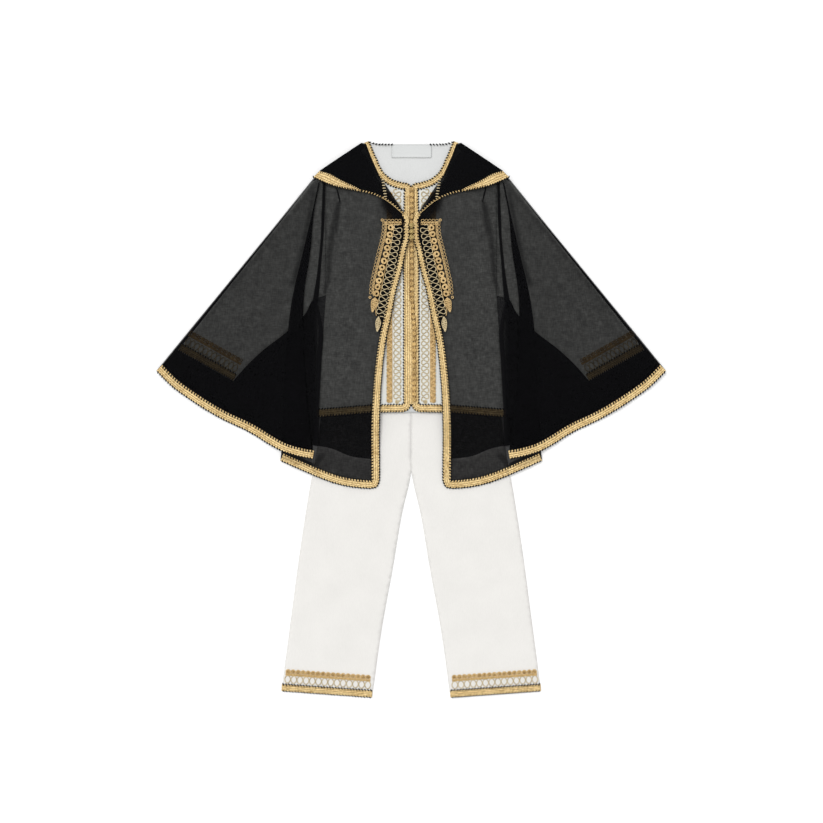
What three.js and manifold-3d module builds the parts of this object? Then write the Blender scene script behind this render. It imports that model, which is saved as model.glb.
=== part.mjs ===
// A child's jabador set laid flat, front up: white trousers, a white tunic that opens
// down the front, and a sheer black hooded cape over both, all edged with gold braid.
// Millimetres. +X is the viewer's right, +Y runs up to the neck, +Z points away from the table.
// The origin is in the middle of the set, on the table.
import * as THREE from 'three';
import { mergeVertices } from 'three/addons/utils/BufferGeometryUtils.js';
import Module from 'manifold-3d';

const wasm = await Module();
wasm.setup();

// Driving dimensions
const CLOTH = 1.0;
const SEAM_GAP = 0.3;
const BRAID_THICK = 1.1;
const BRAID_WIDTH = 11.5;
const HEM_BRAID_WIDTH = BRAID_WIDTH - 1;
const NECK_BRAID_WIDTH = 7.5;
const BRAID_NARROWING = 7.5;
const BAND_THICK = 0.9;
const CORD_THICK = 1.2;
const CORD_WIDTH = 1.7;
const CORD_PITCH = 8;
const CELL = 32;
const HALF_WIDTH = 384;
const HALF_LENGTH = 416;
const FOLD_JOIN = 3;
const HOOD_JOIN = 2;
const CELL_MARGIN = 0.5;
const WELD = 1e-4;
const EDGE_INSET = 0.2;
const SHARPEST_CORNER = 0.6;
const LEVEL = 1e-9;
const CUTTER_DEEP = 60;
const SCALLOP_STEPS = 3;

// Finishes: colour, roughness, metalness
const FINISH = {
  trouser: { color: '#efede9', roughness: 0.85, metalness: 0 },
  tunic: { color: '#e9eae3', roughness: 0.82, metalness: 0 },
  voile: { color: '#1a1a1d', roughness: 0.75, metalness: 0 },
  hood: { color: '#0f0f10', roughness: 0.8, metalness: 0 },
  gold: { color: '#ccb080', roughness: 0.5, metalness: 0.2 },
  knot: { color: '#a07a3c', roughness: 0.45, metalness: 0.3 },
  label: { color: '#e6e6e6', roughness: 0.7, metalness: 0 },
};

// Lines of the trousers, on the viewer's left: x across, y up
const WAISTBAND_DEEP = 26;
const CROTCH = { x: -0.2, y: -73 };
const OUTSEAM = [
  { x: -124, y: 22 },
  { x: -133, y: -45 },
  { x: -144, y: -107 },
  { x: -156, y: -185 },
  { x: -168, y: -275 },
  { x: -182, y: -381 },
];
const INSEAM = [
  { x: -55, y: -390 },
  { x: -42, y: -297 },
  { x: -26, y: -208 },
  { x: -10, y: -118 },
  { x: -4, y: -94 },
  CROTCH,
];
const HEM_BRAID_DEEP = 10;
const HEM_LOOPS_DEEP = 13;
const HEM_SCALLOP_DEEP = 8;
const HEM_SCALLOPS = 17;
const HEM_SCALLOP_RISE = 2;
const HEM_LOOPS_NARROWER = 3;
const HEM_BAND_INSET = 0.028;
const HEM_LOOPS_INSET = 0.02;

// Lines of the cape
const TIP = { x: -357, y: 68 };
const SHOULDER = { x: -137.5, y: 338 };
const WING_HEM = [
  TIP,
  { x: -336, y: 47 },
  { x: -305, y: 24.5 },
  { x: -268, y: 2 },
  { x: -223, y: -20 },
  { x: -202, y: -33 },
  { x: -184, y: -43 },
  { x: -156, y: -52 },
  { x: -138, y: -55.3 },
];
const PLEAT_EDGE = [
  { x: -128, y: 331 },
  { x: -136, y: 290 },
  { x: -141, y: 237 },
  { x: -150, y: 175 },
  { x: -151, y: 111 },
  { x: -146, y: 27 },
  { x: -138, y: -50 },
];
const PLEAT_BACK = [
  { x: -130, y: 331 },
  { x: -139, y: 288 },
  { x: -151, y: 237 },
  { x: -167, y: 167 },
  { x: -175, y: 100 },
  { x: -182, y: -46 },
];
const FRONT_HEM = [
  { x: -183.5, y: -58 },
  { x: -156, y: -70 },
  { x: -128, y: -82 },
  { x: -100, y: -91.5 },
  { x: -72, y: -96 },
  { x: -57, y: -97 },
];
const FRONT_CORNER = [
  { x: -48, y: -94.5 },
  { x: -44, y: -85 },
];
const FRONT_EDGE = [
  { x: -43.7, y: 6 },
  { x: -40, y: 69 },
  { x: -35, y: 111 },
  { x: -27, y: 149 },
  { x: -21, y: 180 },
  { x: -13, y: 209 },
  { x: -6.5, y: 240 },
  { x: -3.2, y: 252 },
  { x: -3, y: 275 },
];
const NECK_CORNER = { x: -8, y: 288 };
const CAPE_NECK = [
  { x: -13, y: 290 },
  { x: -37, y: 324 },
  { x: -48, y: 338 },
  { x: -61, y: 366 },
  { x: -70, y: 375 },
];
const CAPE_TOP = [
  { x: -73, y: 378 },
  { x: -126, y: 342 },
];
const BACK_HEM = [
  { x: -138, y: -36 },
  { x: -114, y: -40 },
  { x: -86, y: -51 },
  { x: -49.5, y: -56 },
];
const VENT_TOP = 16;
const BACK_INSET = 1.5;
const SMALL_PLEAT = [
  { x: -122, y: 329 },
  { x: -122, y: 279 },
  { x: -126, y: 237 },
  { x: -130, y: 195 },
  { x: -132, y: 125 },
  { x: -134, y: 27 },
  { x: -136, y: -40 },
];
const SMALL_PLEAT_WIDTH = 6;
const WING_NECK = { x: -136.5, y: 336.5 };
const BACK_SHOULDER = { x: -136, y: 334 };
const BACK_NECK = [
  { x: -0.2, y: 362 },
  { x: -40, y: 366 },
];
const BRAID_NARROWS_FROM = 0.45;

// Lines of the hood, turned down over the shoulders
const HOOD_TOP = [
  { x: -69.5, y: 387.2 },
  { x: -127.7, y: 348 },
];
const HOOD_EDGE = [
  SHOULDER,
  { x: -114, y: 327.5 },
  { x: -86, y: 321 },
  { x: -65, y: 318 },
  { x: -37, y: 307.5 },
  { x: -10.5, y: 286.5 },
];
const HOOD_NECK = [
  { x: -10.5, y: 290 },
  { x: -35, y: 327 },
  { x: -44, y: 337 },
  { x: -59, y: 367 },
  { x: -66, y: 384 },
];
const HOOD_POINT = { x: -0.2, y: 205 };
const HOOD_SACK_SIDE = [
  { x: -116, y: 318 },
  { x: -60, y: 250 },
];
const HOOD_SACK_TOP = [
  { x: HOOD_POINT.x, y: 372 },
  { x: -45, y: 376 },
];
const HOOD_BRAID_THIN = 2.5;
const HOOD_BRAID_TAPER = 1.6;

// Lines of the tunic
const TUNIC_NECK = [
  { x: -59, y: 390 },
  { x: -49, y: 366 },
  { x: -37, y: 344 },
  { x: -28, y: 337 },
  { x: -10, y: 331 },
];
const TUNIC_OPENING_TOP = { x: -0.2, y: 327 };
const TUNIC_HEM_NOTCH = [
  { x: -0.2, y: 21 },
  { x: -4, y: 14 },
  { x: -11, y: 10.5 },
];
const TUNIC_HEM = [
  { x: -55, y: 9.8 },
  { x: -132, y: 3.5 },
];
const TUNIC_SIDE = [
  { x: -128, y: 55 },
  { x: -125, y: 97 },
  { x: -119.5, y: 174 },
];
const TUNIC_SHOULDER = [
  { x: -119.5, y: 343 },
  { x: -68, y: 378 },
];
const BACK_NECK_Y = 386;
const BACK_NECK_HALF = 40;
const BACK_NECK_CORNER = { x: -60.5, y: 388 };
const NECK_BRAID_WIDENING = 10;
const SLEEVE_UNDER = [
  { x: -119.8, y: 174 },
  { x: -138, y: 167 },
  { x: -147, y: 150.5 },
  { x: -172, y: 125 },
  { x: -209, y: 96 },
  { x: -231, y: 75 },
  { x: -249.5, y: 54 },
];
const CUFF_TOP = { x: -326.5, y: 97 };
const SLEEVE_OVER = [
  { x: -138, y: 333.5 },
  { x: -126, y: 339.5 },
  { x: -119.8, y: 342.8 },
];
const CUFF_SCALLOP_DEEP = 7;
const CUFF_LOOPS_DEEP = 13;
const LABEL = { left: -27.5, right: 28.5, low: 366.5, high: 384 };

// Trims of the front
const PANEL_TOP = 280;
const PANEL_OUTER = [
  { x: -42.3, y: PANEL_TOP },
  { x: -42, y: 251 },
  { x: -48, y: 222 },
  { x: -55, y: 201 },
  { x: -60, y: 170 },
];
const PANEL_INNER = [
  { x: -13.4, y: PANEL_TOP },
  { x: -14, y: 273.5 },
  { x: -25.5, y: 273 },
  { x: -31, y: 237 },
  { x: -37, y: 212 },
  { x: -47.5, y: 168 },
];
const PANEL_SCALLOP = 1.2;
const PANEL_SCALLOPS = 2;
const LEAF_TIP = { x: -55, y: 150.5 };
const ROSETTE_LINE = [
  { x: -33.5, y: 266 },
  { x: -37, y: 238 },
  { x: -43.5, y: 211 },
  { x: -52.5, y: 176 },
];
const SECOND_LEAF = [
  { x: -51, y: 144.5 },
  { x: -47.2, y: 124 },
  { x: -39.5, y: 143.5 },
];
const CORD_AXIS = [
  { x: -18.6, y: 270 },
  { x: -23.6, y: 237 },
  { x: -29.9, y: 212 },
  { x: -39.9, y: 171 },
  { x: -44.6, y: 142 },
];
const CORD_REACH = 8.6;
const ROSETTE_RADIUS = 4.2;
const ROSETTE_RISE = 1.1;
const CLOSING_KNOT_RADIUS = 3.9;
const BUTTONS = 39;
const BUTTON_PITCH = 7.75;
const BUTTON_TOP = 322;
const BUTTON_X = 1.5;
const BUTTON_RADIUS = 3;
const BUTTON_RISE = 1.2;
const BUTTON_STRIP = 3;
const BUTTON_CLEAR = 1.5;
const KNOT_SUNK = 0.3;
const KNOT_CROWN = 0.7;
const KNOT_SIDES = 6;
const CLOSING_KNOT_SIDES = 10;
const CLOSING_KNOTS = 3;
const CLOSING_KNOT_Y = 271;
const CLOSING_KNOT_PITCH = 8.2;
const CLOSING_KNOT_LIFT = 2.5;
const TUNIC_BAND = { inner: -26.4, outer: -34, top: 318, low: 24 };
const TUNIC_CORD = { middle: -19.5, reach: 10, top: 200, low: 26 };
// One swing of a cord: how far along its turn each corner lies, and how far to the side
const SWING_STEPS = [
  { share: 0.1, side: 1 },
  { share: 0.4, side: 1 },
  { share: 0.6, side: -1 },
  { share: 0.9, side: -1 },
];

// Grid on which every cloth layer bends: all layers share its points, so that a
// layer laid over another follows it without touching.
const COLUMNS = (2 * HALF_WIDTH) / CELL;
const ROWS = (2 * HALF_LENGTH) / CELL;
const ground = new Float64Array((COLUMNS + 1) * (ROWS + 1));

/** Index of a grid point. */
function gridIndex(column, row) {
  return row * (COLUMNS + 1) + column;
}

/** Points from rows of {x, y}. */
function points(rows) {
  return rows.map((row) => new THREE.Vector2(row.x, row.y));
}

/** A smooth line through rows of {x, y}, with the given steps between neighbours. */
function smooth(rows, steps = 2) {
  const curve = new THREE.SplineCurve(points(rows));
  return curve.getPoints((rows.length - 1) * steps);
}

/** The same points seen in a mirror at x = 0. */
function mirrored(outline) {
  return outline.map((point) => new THREE.Vector2(-point.x, point.y)).reverse();
}

/** A line moved sideways, to its right-hand side for a positive distance. */
function offset(line, distance) {
  const last = line.length - 1;
  return line.map((point, index) => {
    const reach = typeof distance === 'function' ? distance(index / last) : distance;
    const before = line[Math.max(index - 1, 0)];
    const after = line[Math.min(index + 1, last)];
    const into = point.clone().sub(before);
    const out = after.clone().sub(point);
    const start = (index === 0 ? out : into).clone().normalize();
    const end = (index === last ? into : out).clone().normalize();
    const tangent = start.clone().add(end).normalize();
    const stretch = 1 / Math.max(tangent.dot(start), SHARPEST_CORNER);
    const side = new THREE.Vector2(tangent.y, -tangent.x);
    return point.clone().addScaledVector(side, reach * stretch);
  });
}

/** A strip between a line and the same line moved sideways. */
function ribbon(line, near, far) {
  return [...offset(line, near), ...offset(line, far).reverse()];
}

/** Whether a straight edge passes through a box. */
function edgeMeetsBox(a, b, box) {
  let enter = 0;
  let leave = 1;
  for (const axis of ['x', 'y']) {
    const run = b[axis] - a[axis];
    const low = box.min[axis] - a[axis];
    const high = box.max[axis] - a[axis];
    if (Math.abs(run) < LEVEL) {
      if (low > 0 || high < 0) {
        return false;
      }
    } else {
      enter = Math.max(enter, Math.min(low / run, high / run));
      leave = Math.min(leave, Math.max(low / run, high / run));
    }
  }
  return enter <= leave;
}

/** Whether a point is inside a closed outline. */
function inside(outline, point) {
  let hit = false;
  outline.forEach((a, index) => {
    const b = outline[(index + 1) % outline.length];
    const crosses = a.y > point.y !== b.y > point.y;
    if (crosses && point.x < a.x + ((point.y - a.y) * (b.x - a.x)) / (b.y - a.y)) {
      hit = !hit;
    }
  });
  return hit;
}

/** The grid cells that an outline touches, as {column, row}. */
function cellsUnder(outline) {
  const cells = [];
  for (let row = 0; row < ROWS; row += 1) {
    for (let column = 0; column < COLUMNS; column += 1) {
      const x = column * CELL - HALF_WIDTH;
      const y = row * CELL - HALF_LENGTH;
      const box = new THREE.Box2(new THREE.Vector2(x, y), new THREE.Vector2(x + CELL, y + CELL));
      box.expandByScalar(CELL_MARGIN);
      const middle = box.getCenter(new THREE.Vector2());
      const edged = outline.some((a, i) => edgeMeetsBox(a, outline[(i + 1) % outline.length], box));
      if (edged || inside(outline, middle)) {
        cells.push({ column, row });
      }
    }
  }
  return cells;
}

/** Solid from a closed geometry. */
function toSolid(geometry) {
  geometry.deleteAttribute('normal');
  geometry.deleteAttribute('uv');
  const merged = mergeVertices(geometry, WELD);
  const mesh = new wasm.Mesh({
    numProp: 3,
    vertProperties: new Float32Array(merged.attributes.position.array),
    triVerts: new Uint32Array(merged.index.array),
  });
  return new wasm.Manifold(mesh);
}

/** Geometry from a solid. */
function toGeometry(solid) {
  const mesh = solid.getMesh();
  const geometry = new THREE.BufferGeometry();
  const position = new THREE.BufferAttribute(new Float32Array(mesh.vertProperties), 3);
  geometry.setAttribute('position', position);
  geometry.setIndex(new THREE.BufferAttribute(new Uint32Array(mesh.triVerts), 1));
  geometry.computeVertexNormals();
  return geometry;
}

/** A block over a rectangle of cells, between two height tables on the shared grid. */
function block(bottom, top, span) {
  const wide = span.right - span.left + 1;
  const deep = span.far - span.near + 1;
  const vertices = [];
  for (const heights of [bottom, top]) {
    for (let row = span.near; row <= span.far; row += 1) {
      for (let column = span.left; column <= span.right; column += 1) {
        const x = column * CELL - HALF_WIDTH;
        const y = row * CELL - HALF_LENGTH;
        vertices.push(x, y, heights[gridIndex(column, row)]);
      }
    }
  }
  const faces = [];
  const upper = wide * deep;
  const cornerOf = (column, row) => (row - span.near) * wide + (column - span.left);
  for (let row = span.near; row < span.far; row += 1) {
    for (let column = span.left; column < span.right; column += 1) {
      const a = cornerOf(column, row);
      const b = cornerOf(column + 1, row);
      const c = cornerOf(column + 1, row + 1);
      const d = cornerOf(column, row + 1);
      const leaning = column < COLUMNS / 2;
      const pair = leaning ? [[a, b, c], [a, c, d]] : [[a, b, d], [b, c, d]];
      for (const [p, q, r] of pair) {
        faces.push(upper + p, upper + q, upper + r);
        faces.push(p, r, q);
      }
    }
  }
  const rim = [];
  for (let column = span.left; column < span.right; column += 1) {
    rim.push(cornerOf(column, span.near));
  }
  for (let row = span.near; row < span.far; row += 1) {
    rim.push(cornerOf(span.right, row));
  }
  for (let column = span.right; column > span.left; column -= 1) {
    rim.push(cornerOf(column, span.far));
  }
  for (let row = span.far; row > span.near; row -= 1) {
    rim.push(cornerOf(span.left, row));
  }
  rim.forEach((from, index) => {
    const to = rim[(index + 1) % rim.length];
    faces.push(from, to, upper + to);
    faces.push(from, upper + to, upper + from);
  });
  const geometry = new THREE.BufferGeometry();
  geometry.setAttribute('position', new THREE.Float32BufferAttribute(vertices, 3));
  geometry.setIndex(faces);
  return toSolid(geometry);
}

/** The part of a block that an outline cuts out of it. */
function cutOut(outline, bottom, top) {
  const cells = cellsUnder(outline);
  const span = {
    left: Math.min(...cells.map((cell) => cell.column)),
    right: Math.max(...cells.map((cell) => cell.column)) + 1,
    near: Math.min(...cells.map((cell) => cell.row)),
    far: Math.max(...cells.map((cell) => cell.row)) + 1,
  };
  const slab = block(bottom, top, span);
  const prism = new THREE.ExtrudeGeometry(new THREE.Shape(outline), {
    depth: CUTTER_DEEP,
    bevelEnabled: false,
  });
  prism.translate(0, 0, -CUTTER_DEEP / 2);
  return slab.intersect(toSolid(prism));
}

/** Heights of a layer laid on everything under it, or on one panel alone. */
function lay(outline, thickness, panel) {
  const under = panel ? panel.top : ground;
  const bottom = under.map((height) => (height > 0 ? height + SEAM_GAP : 0));
  const top = bottom.map((height) => height + thickness);
  return { outline, bottom, top };
}

/** Raises the ground to the top of the layers just laid. */
function settle(...layers) {
  for (const layer of layers) {
    for (const { column, row } of cellsUnder(layer.outline)) {
      for (const [right, up] of [[0, 0], [1, 0], [0, 1], [1, 1]]) {
        const index = gridIndex(column + right, row + up);
        ground[index] = Math.max(ground[index], layer.top[index]);
      }
    }
  }
}

/** Solid of one laid layer. */
function solidOf(layer) {
  return cutOut(layer.outline, layer.bottom, layer.top);
}

/** Height of a layer's top at a point of the table, on the two triangles of its cell. */
function heightAt(layer, point) {
  const across = (point.x + HALF_WIDTH) / CELL;
  const along = (point.y + HALF_LENGTH) / CELL;
  const column = Math.floor(across);
  const row = Math.floor(along);
  const u = across - column;
  const v = along - row;
  const near = layer.top[gridIndex(column, row)];
  const right = layer.top[gridIndex(column + 1, row)];
  const far = layer.top[gridIndex(column + 1, row + 1)];
  const left = layer.top[gridIndex(column, row + 1)];
  if (column < COLUMNS / 2) {
    const first = near + (right - near) * u + (far - right) * v;
    const second = near + (left - near) * v + (far - left) * u;
    return v <= u ? first : second;
  }
  if (u + v <= 1) {
    return near + (right - near) * u + (left - near) * v;
  }
  return far + (left - far) * (1 - u) + (right - far) * (1 - v);
}

const suit = new THREE.Group();

/** Adds a named piece of the suit. */
function piece(name, solid, finish) {
  const material = new THREE.MeshStandardMaterial(FINISH[finish]);
  material.side = THREE.DoubleSide;
  const mesh = new THREE.Mesh(toGeometry(solid), material);
  mesh.name = name;
  suit.add(mesh);
}

const SIDES = ['left', 'right'];

/** The outline on the viewer's left, or its mirror for the right. */
function forSide(side, outline) {
  return side === 'left' ? outline : mirrored(outline);
}

/** A mirrored pair of layers laid at the same level. */
function layPair(outline, thickness, panels) {
  return SIDES.map((side, index) => lay(forSide(side, outline), thickness, panels && panels[index]));
}

/** Adds a mirrored pair of pieces, one solid for each layer. */
function piecePair(name, layers, finish) {
  layers.forEach((layer, index) => piece(`${name}_${SIDES[index]}`, solidOf(layer), finish));
}

/** Trousers: two backs on the table, two fronts over them, and the waistband. */
function makeTrousers() {
  const leg = [...points(OUTSEAM), ...points(INSEAM), new THREE.Vector2(CROTCH.x, OUTSEAM[0].y)];
  const backs = layPair(leg, CLOTH);
  settle(...backs);
  const fronts = layPair(leg, CLOTH, backs);
  settle(...fronts);
  const band = points([
    { x: OUTSEAM[0].x, y: OUTSEAM[0].y + SEAM_GAP },
    { x: -OUTSEAM[0].x, y: OUTSEAM[0].y + SEAM_GAP },
    { x: -OUTSEAM[0].x, y: OUTSEAM[0].y + WAISTBAND_DEEP },
    { x: OUTSEAM[0].x, y: OUTSEAM[0].y + WAISTBAND_DEEP },
  ]);
  const waist = {
    outline: band,
    bottom: ground.map(() => 0),
    top: ground.map(() => 2 * CLOTH + SEAM_GAP),
  };
  settle(waist);
  piecePair('trouser_back', backs, 'trouser');
  piecePair('trouser_front', fronts, 'trouser');
  piece('waistband', solidOf(waist), 'trouser');
  return fronts;
}

/** Bands round the trouser hems: braid at the edge, and scalloped gimp above the loops. */
function makeTrouserHems(fronts) {
  const hem = points([INSEAM[0], OUTSEAM[OUTSEAM.length - 1]]);
  const braid = ribbon(hem, SEAM_GAP, HEM_BRAID_DEEP);
  const bandNear = HEM_BRAID_DEEP + HEM_LOOPS_DEEP;
  const start = hem[0].clone().lerp(hem[1], HEM_BAND_INSET);
  const end = hem[1].clone().lerp(hem[0], HEM_BAND_INSET);
  const low = offset([start, end], bandNear);
  const high = offset([start, end], bandNear + HEM_SCALLOP_DEEP).reverse();
  const band = [...low, ...scallops(high, HEM_SCALLOPS, HEM_SCALLOP_RISE)];
  const middle = offset(hem, HEM_BRAID_DEEP + HEM_LOOPS_DEEP / 2);
  const loopAxis = [
    middle[0].clone().lerp(middle[1], HEM_LOOPS_INSET),
    middle[1].clone().lerp(middle[0], HEM_LOOPS_INSET),
  ];
  const loops = cordAlong(loopAxis, HEM_LOOPS_DEEP - HEM_LOOPS_NARROWER);
  piecePair('hem_braid', layPair(braid, BRAID_THICK, fronts), 'gold');
  piecePair('hem_loops', layPair(loops, BAND_THICK, fronts), 'gold');
  piecePair('hem_band', layPair(band, BAND_THICK, fronts), 'gold');
}

/** A straight run turned into half-round scallops that stand out to its right. */
function scallops(line, count, height) {
  const [from, to] = line;
  const run = to.clone().sub(from);
  const side = new THREE.Vector2(run.y, -run.x).normalize();
  const result = [];
  for (let index = 0; index < count; index += 1) {
    for (let step = 0; step < SCALLOP_STEPS; step += 1) {
      const along = (index + step / SCALLOP_STEPS) / count;
      const rise = height * Math.sin((Math.PI * step) / SCALLOP_STEPS);
      result.push(from.clone().addScaledVector(run, along).addScaledVector(side, rise));
    }
  }
  result.push(to.clone());
  return result;
}

/** The line of a cord that swings from side to side along an axis line. */
function swing(axis, reach, pitch) {
  const lengths = [0];
  for (let i = 1; i < axis.length; i += 1) {
    lengths.push(lengths[i - 1] + axis[i].distanceTo(axis[i - 1]));
  }
  const total = lengths[lengths.length - 1];
  const turns = Math.round(total / pitch);
  const result = [];
  for (let turn = 0; turn < turns; turn += 1) {
    for (const { share, side } of SWING_STEPS) {
      const along = ((turn + share) / turns) * total;
      const last = lengths.findIndex((length) => length >= along);
      const index = Math.max(last, 1);
      const from = axis[index - 1];
      const run = axis[index].clone().sub(from);
      const place = from.clone().addScaledVector(run, (along - lengths[index - 1]) / run.length());
      const across = new THREE.Vector2(run.y, -run.x).normalize();
      result.push(place.addScaledVector(across, side * reach));
    }
  }
  return result;
}

/** Outline of a cord that swings along an axis line. */
function cordAlong(axis, reach) {
  return ribbon(swing(axis, reach / 2, CORD_PITCH), -CORD_WIDTH / 2, CORD_WIDTH / 2);
}

/** Hood: a doubled point under the cape, turned over the shoulder line onto the front. */
function layHoodPoint() {
  const sack = points([...HOOD_TOP, ...HOOD_SACK_SIDE, HOOD_POINT, ...HOOD_SACK_TOP]);
  const sacks = layPair(sack, 2 * CLOTH);
  settle(...sacks);
  return sacks;
}

/** Back of the cape in two halves, with a vent below the centre seam. */
function layCapeBack() {
  const wing = offset(points(WING_HEM), -BACK_INSET).slice(1);
  const half = [
    ...points([
      { x: BACK_NECK[0].x, y: VENT_TOP },
      ...BACK_NECK,
      ...CAPE_TOP,
      BACK_SHOULDER,
      { x: TIP.x + 2 * BACK_INSET, y: TIP.y },
    ]),
    ...wing,
    ...points(BACK_HEM),
    new THREE.Vector2(BACK_HEM[BACK_HEM.length - 1].x, VENT_TOP),
  ];
  const halves = layPair(half, CLOTH);
  settle(...halves);
  return halves;
}

/** Tunic: one back, two fronts, and sleeves that are flat tubes. */
function makeTunic() {
  const sleeve = points([...SLEEVE_UNDER, CUFF_TOP, ...SLEEVE_OVER]);
  const shoulderRun = points(TUNIC_SHOULDER);
  const hemRun = points(TUNIC_HEM);
  const sideRun = points(TUNIC_SIDE);
  const neckTop = points([BACK_NECK_CORNER]);
  const halfBack = [...hemRun, ...sideRun, ...shoulderRun, ...neckTop];
  const back = [
    ...halfBack,
    ...points([
      { x: -BACK_NECK_HALF, y: BACK_NECK_Y },
      { x: BACK_NECK_HALF, y: BACK_NECK_Y },
    ]),
    ...mirrored(halfBack),
  ];
  const backLayer = lay(back, CLOTH);
  const under = layPair(sleeve, CLOTH);
  settle(backLayer, ...under);
  piece('tunic_back', solidOf(backLayer), 'tunic');

  const front = [
    ...points(TUNIC_HEM_NOTCH),
    ...hemRun,
    ...sideRun,
    ...shoulderRun,
    ...smooth(TUNIC_NECK),
    ...points([TUNIC_OPENING_TOP]),
  ];
  const fronts = layPair(front, CLOTH);
  const over = layPair(sleeve, CLOTH);
  const label = lay(
    points([
      { x: LABEL.left, y: LABEL.low },
      { x: LABEL.right, y: LABEL.low },
      { x: LABEL.right, y: LABEL.high },
      { x: LABEL.left, y: LABEL.high },
    ]),
    CLOTH,
    backLayer,
  );
  settle(...fronts, ...over);
  piecePair('tunic_front', fronts, 'tunic');
  piece('neck_label', solidOf(label), 'label');
  const upperSeam = points([CUFF_TOP, SLEEVE_OVER[0]]);
  const underSeam = points(SLEEVE_UNDER.slice(1));
  SIDES.forEach((side, index) => {
    const joins = [ribbon(upperSeam, 0, FOLD_JOIN), ribbon(underSeam, 0, -FOLD_JOIN)];
    let tube = solidOf(under[index]).add(solidOf(over[index]));
    for (const join of joins) {
      tube = tube.add(cutOut(forSide(side, join), under[index].bottom, over[index].top));
    }
    piece(`sleeve_${side}`, tube, 'tunic');
  });
  return { fronts, over };
}

/** Braid and gimp of the tunic, the cuffs, and the column of knot buttons. */
function makeTunicTrims(fronts, sleeves) {
  const edge = [
    ...smooth(TUNIC_NECK),
    ...points([TUNIC_OPENING_TOP, ...TUNIC_HEM_NOTCH, ...TUNIC_HEM]),
  ];
  const width = (along) => {
    return Math.min(HEM_BRAID_WIDTH, NECK_BRAID_WIDTH + along * NECK_BRAID_WIDENING);
  };
  const outline = [...offset(edge, EDGE_INSET), ...offset(edge, width).reverse()];
  const braids = layPair(outline, BRAID_THICK, fronts);
  settle(...braids);
  piecePair('tunic_braid', braids, 'gold');
  const gimp = points([
    { x: TUNIC_BAND.outer, y: TUNIC_BAND.low },
    { x: TUNIC_BAND.inner, y: TUNIC_BAND.low },
    { x: TUNIC_BAND.inner, y: TUNIC_BAND.top },
    { x: TUNIC_BAND.outer, y: TUNIC_BAND.top },
  ]);
  const bands = layPair(gimp, BAND_THICK, fronts);
  const axis = points([
    { x: TUNIC_CORD.middle, y: TUNIC_CORD.low },
    { x: TUNIC_CORD.middle, y: TUNIC_CORD.top },
  ]);
  const cords = layPair(cordAlong(axis, TUNIC_CORD.reach), BAND_THICK, fronts);
  settle(...bands, ...cords);
  piecePair('tunic_band', bands, 'gold');
  piecePair('tunic_cord', cords, 'gold');
  const cuff = points([SLEEVE_UNDER[SLEEVE_UNDER.length - 1], CUFF_TOP]);
  const cuffBraid = layPair(ribbon(cuff, SEAM_GAP, HEM_BRAID_WIDTH), BRAID_THICK, sleeves);
  const bandNear = BRAID_WIDTH + CUFF_LOOPS_DEEP;
  const cuffGimp = ribbon(cuff, bandNear, bandNear + CUFF_SCALLOP_DEEP);
  const cuffBand = layPair(cuffGimp, BAND_THICK, sleeves);
  settle(...cuffBraid, ...cuffBand);
  piecePair('cuff_braid', cuffBraid, 'gold');
  piecePair('cuff_band', cuffBand, 'gold');

  const low = BUTTON_TOP - (BUTTONS - 1) * BUTTON_PITCH;
  const strip = lay(
    points([
      { x: BUTTON_X - BUTTON_STRIP / 2, y: low },
      { x: BUTTON_X + BUTTON_STRIP / 2, y: low },
      { x: BUTTON_X + BUTTON_STRIP / 2, y: BUTTON_TOP },
      { x: BUTTON_X - BUTTON_STRIP / 2, y: BUTTON_TOP },
    ]),
    CLOTH,
    braids[1],
  );
  let knots = solidOf(strip);
  for (let index = 0; index < BUTTONS; index += 1) {
    const place = new THREE.Vector2(BUTTON_X, BUTTON_TOP - index * BUTTON_PITCH);
    knots = knots.add(knotAt(strip, place, BUTTON_RADIUS, BUTTON_RISE));
  }
  settle({ outline: strip.outline, top: strip.top.map((height) => height + BUTTON_CLEAR) });
  piece('tunic_knots', knots, 'knot');
}

/** A low round knot that stands on a layer's top. */
function knotAt(layer, place, radius, rise) {
  const profile = points([
    { x: 0, y: -KNOT_SUNK },
    { x: radius, y: -KNOT_SUNK },
    { x: radius * KNOT_CROWN, y: rise },
    { x: 0, y: rise },
  ]);
  const knot = new THREE.LatheGeometry(profile, KNOT_SIDES);
  knot.rotateX(Math.PI / 2);
  knot.translate(place.x, place.y, heightAt(layer, place));
  return toSolid(knot);
}

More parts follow.
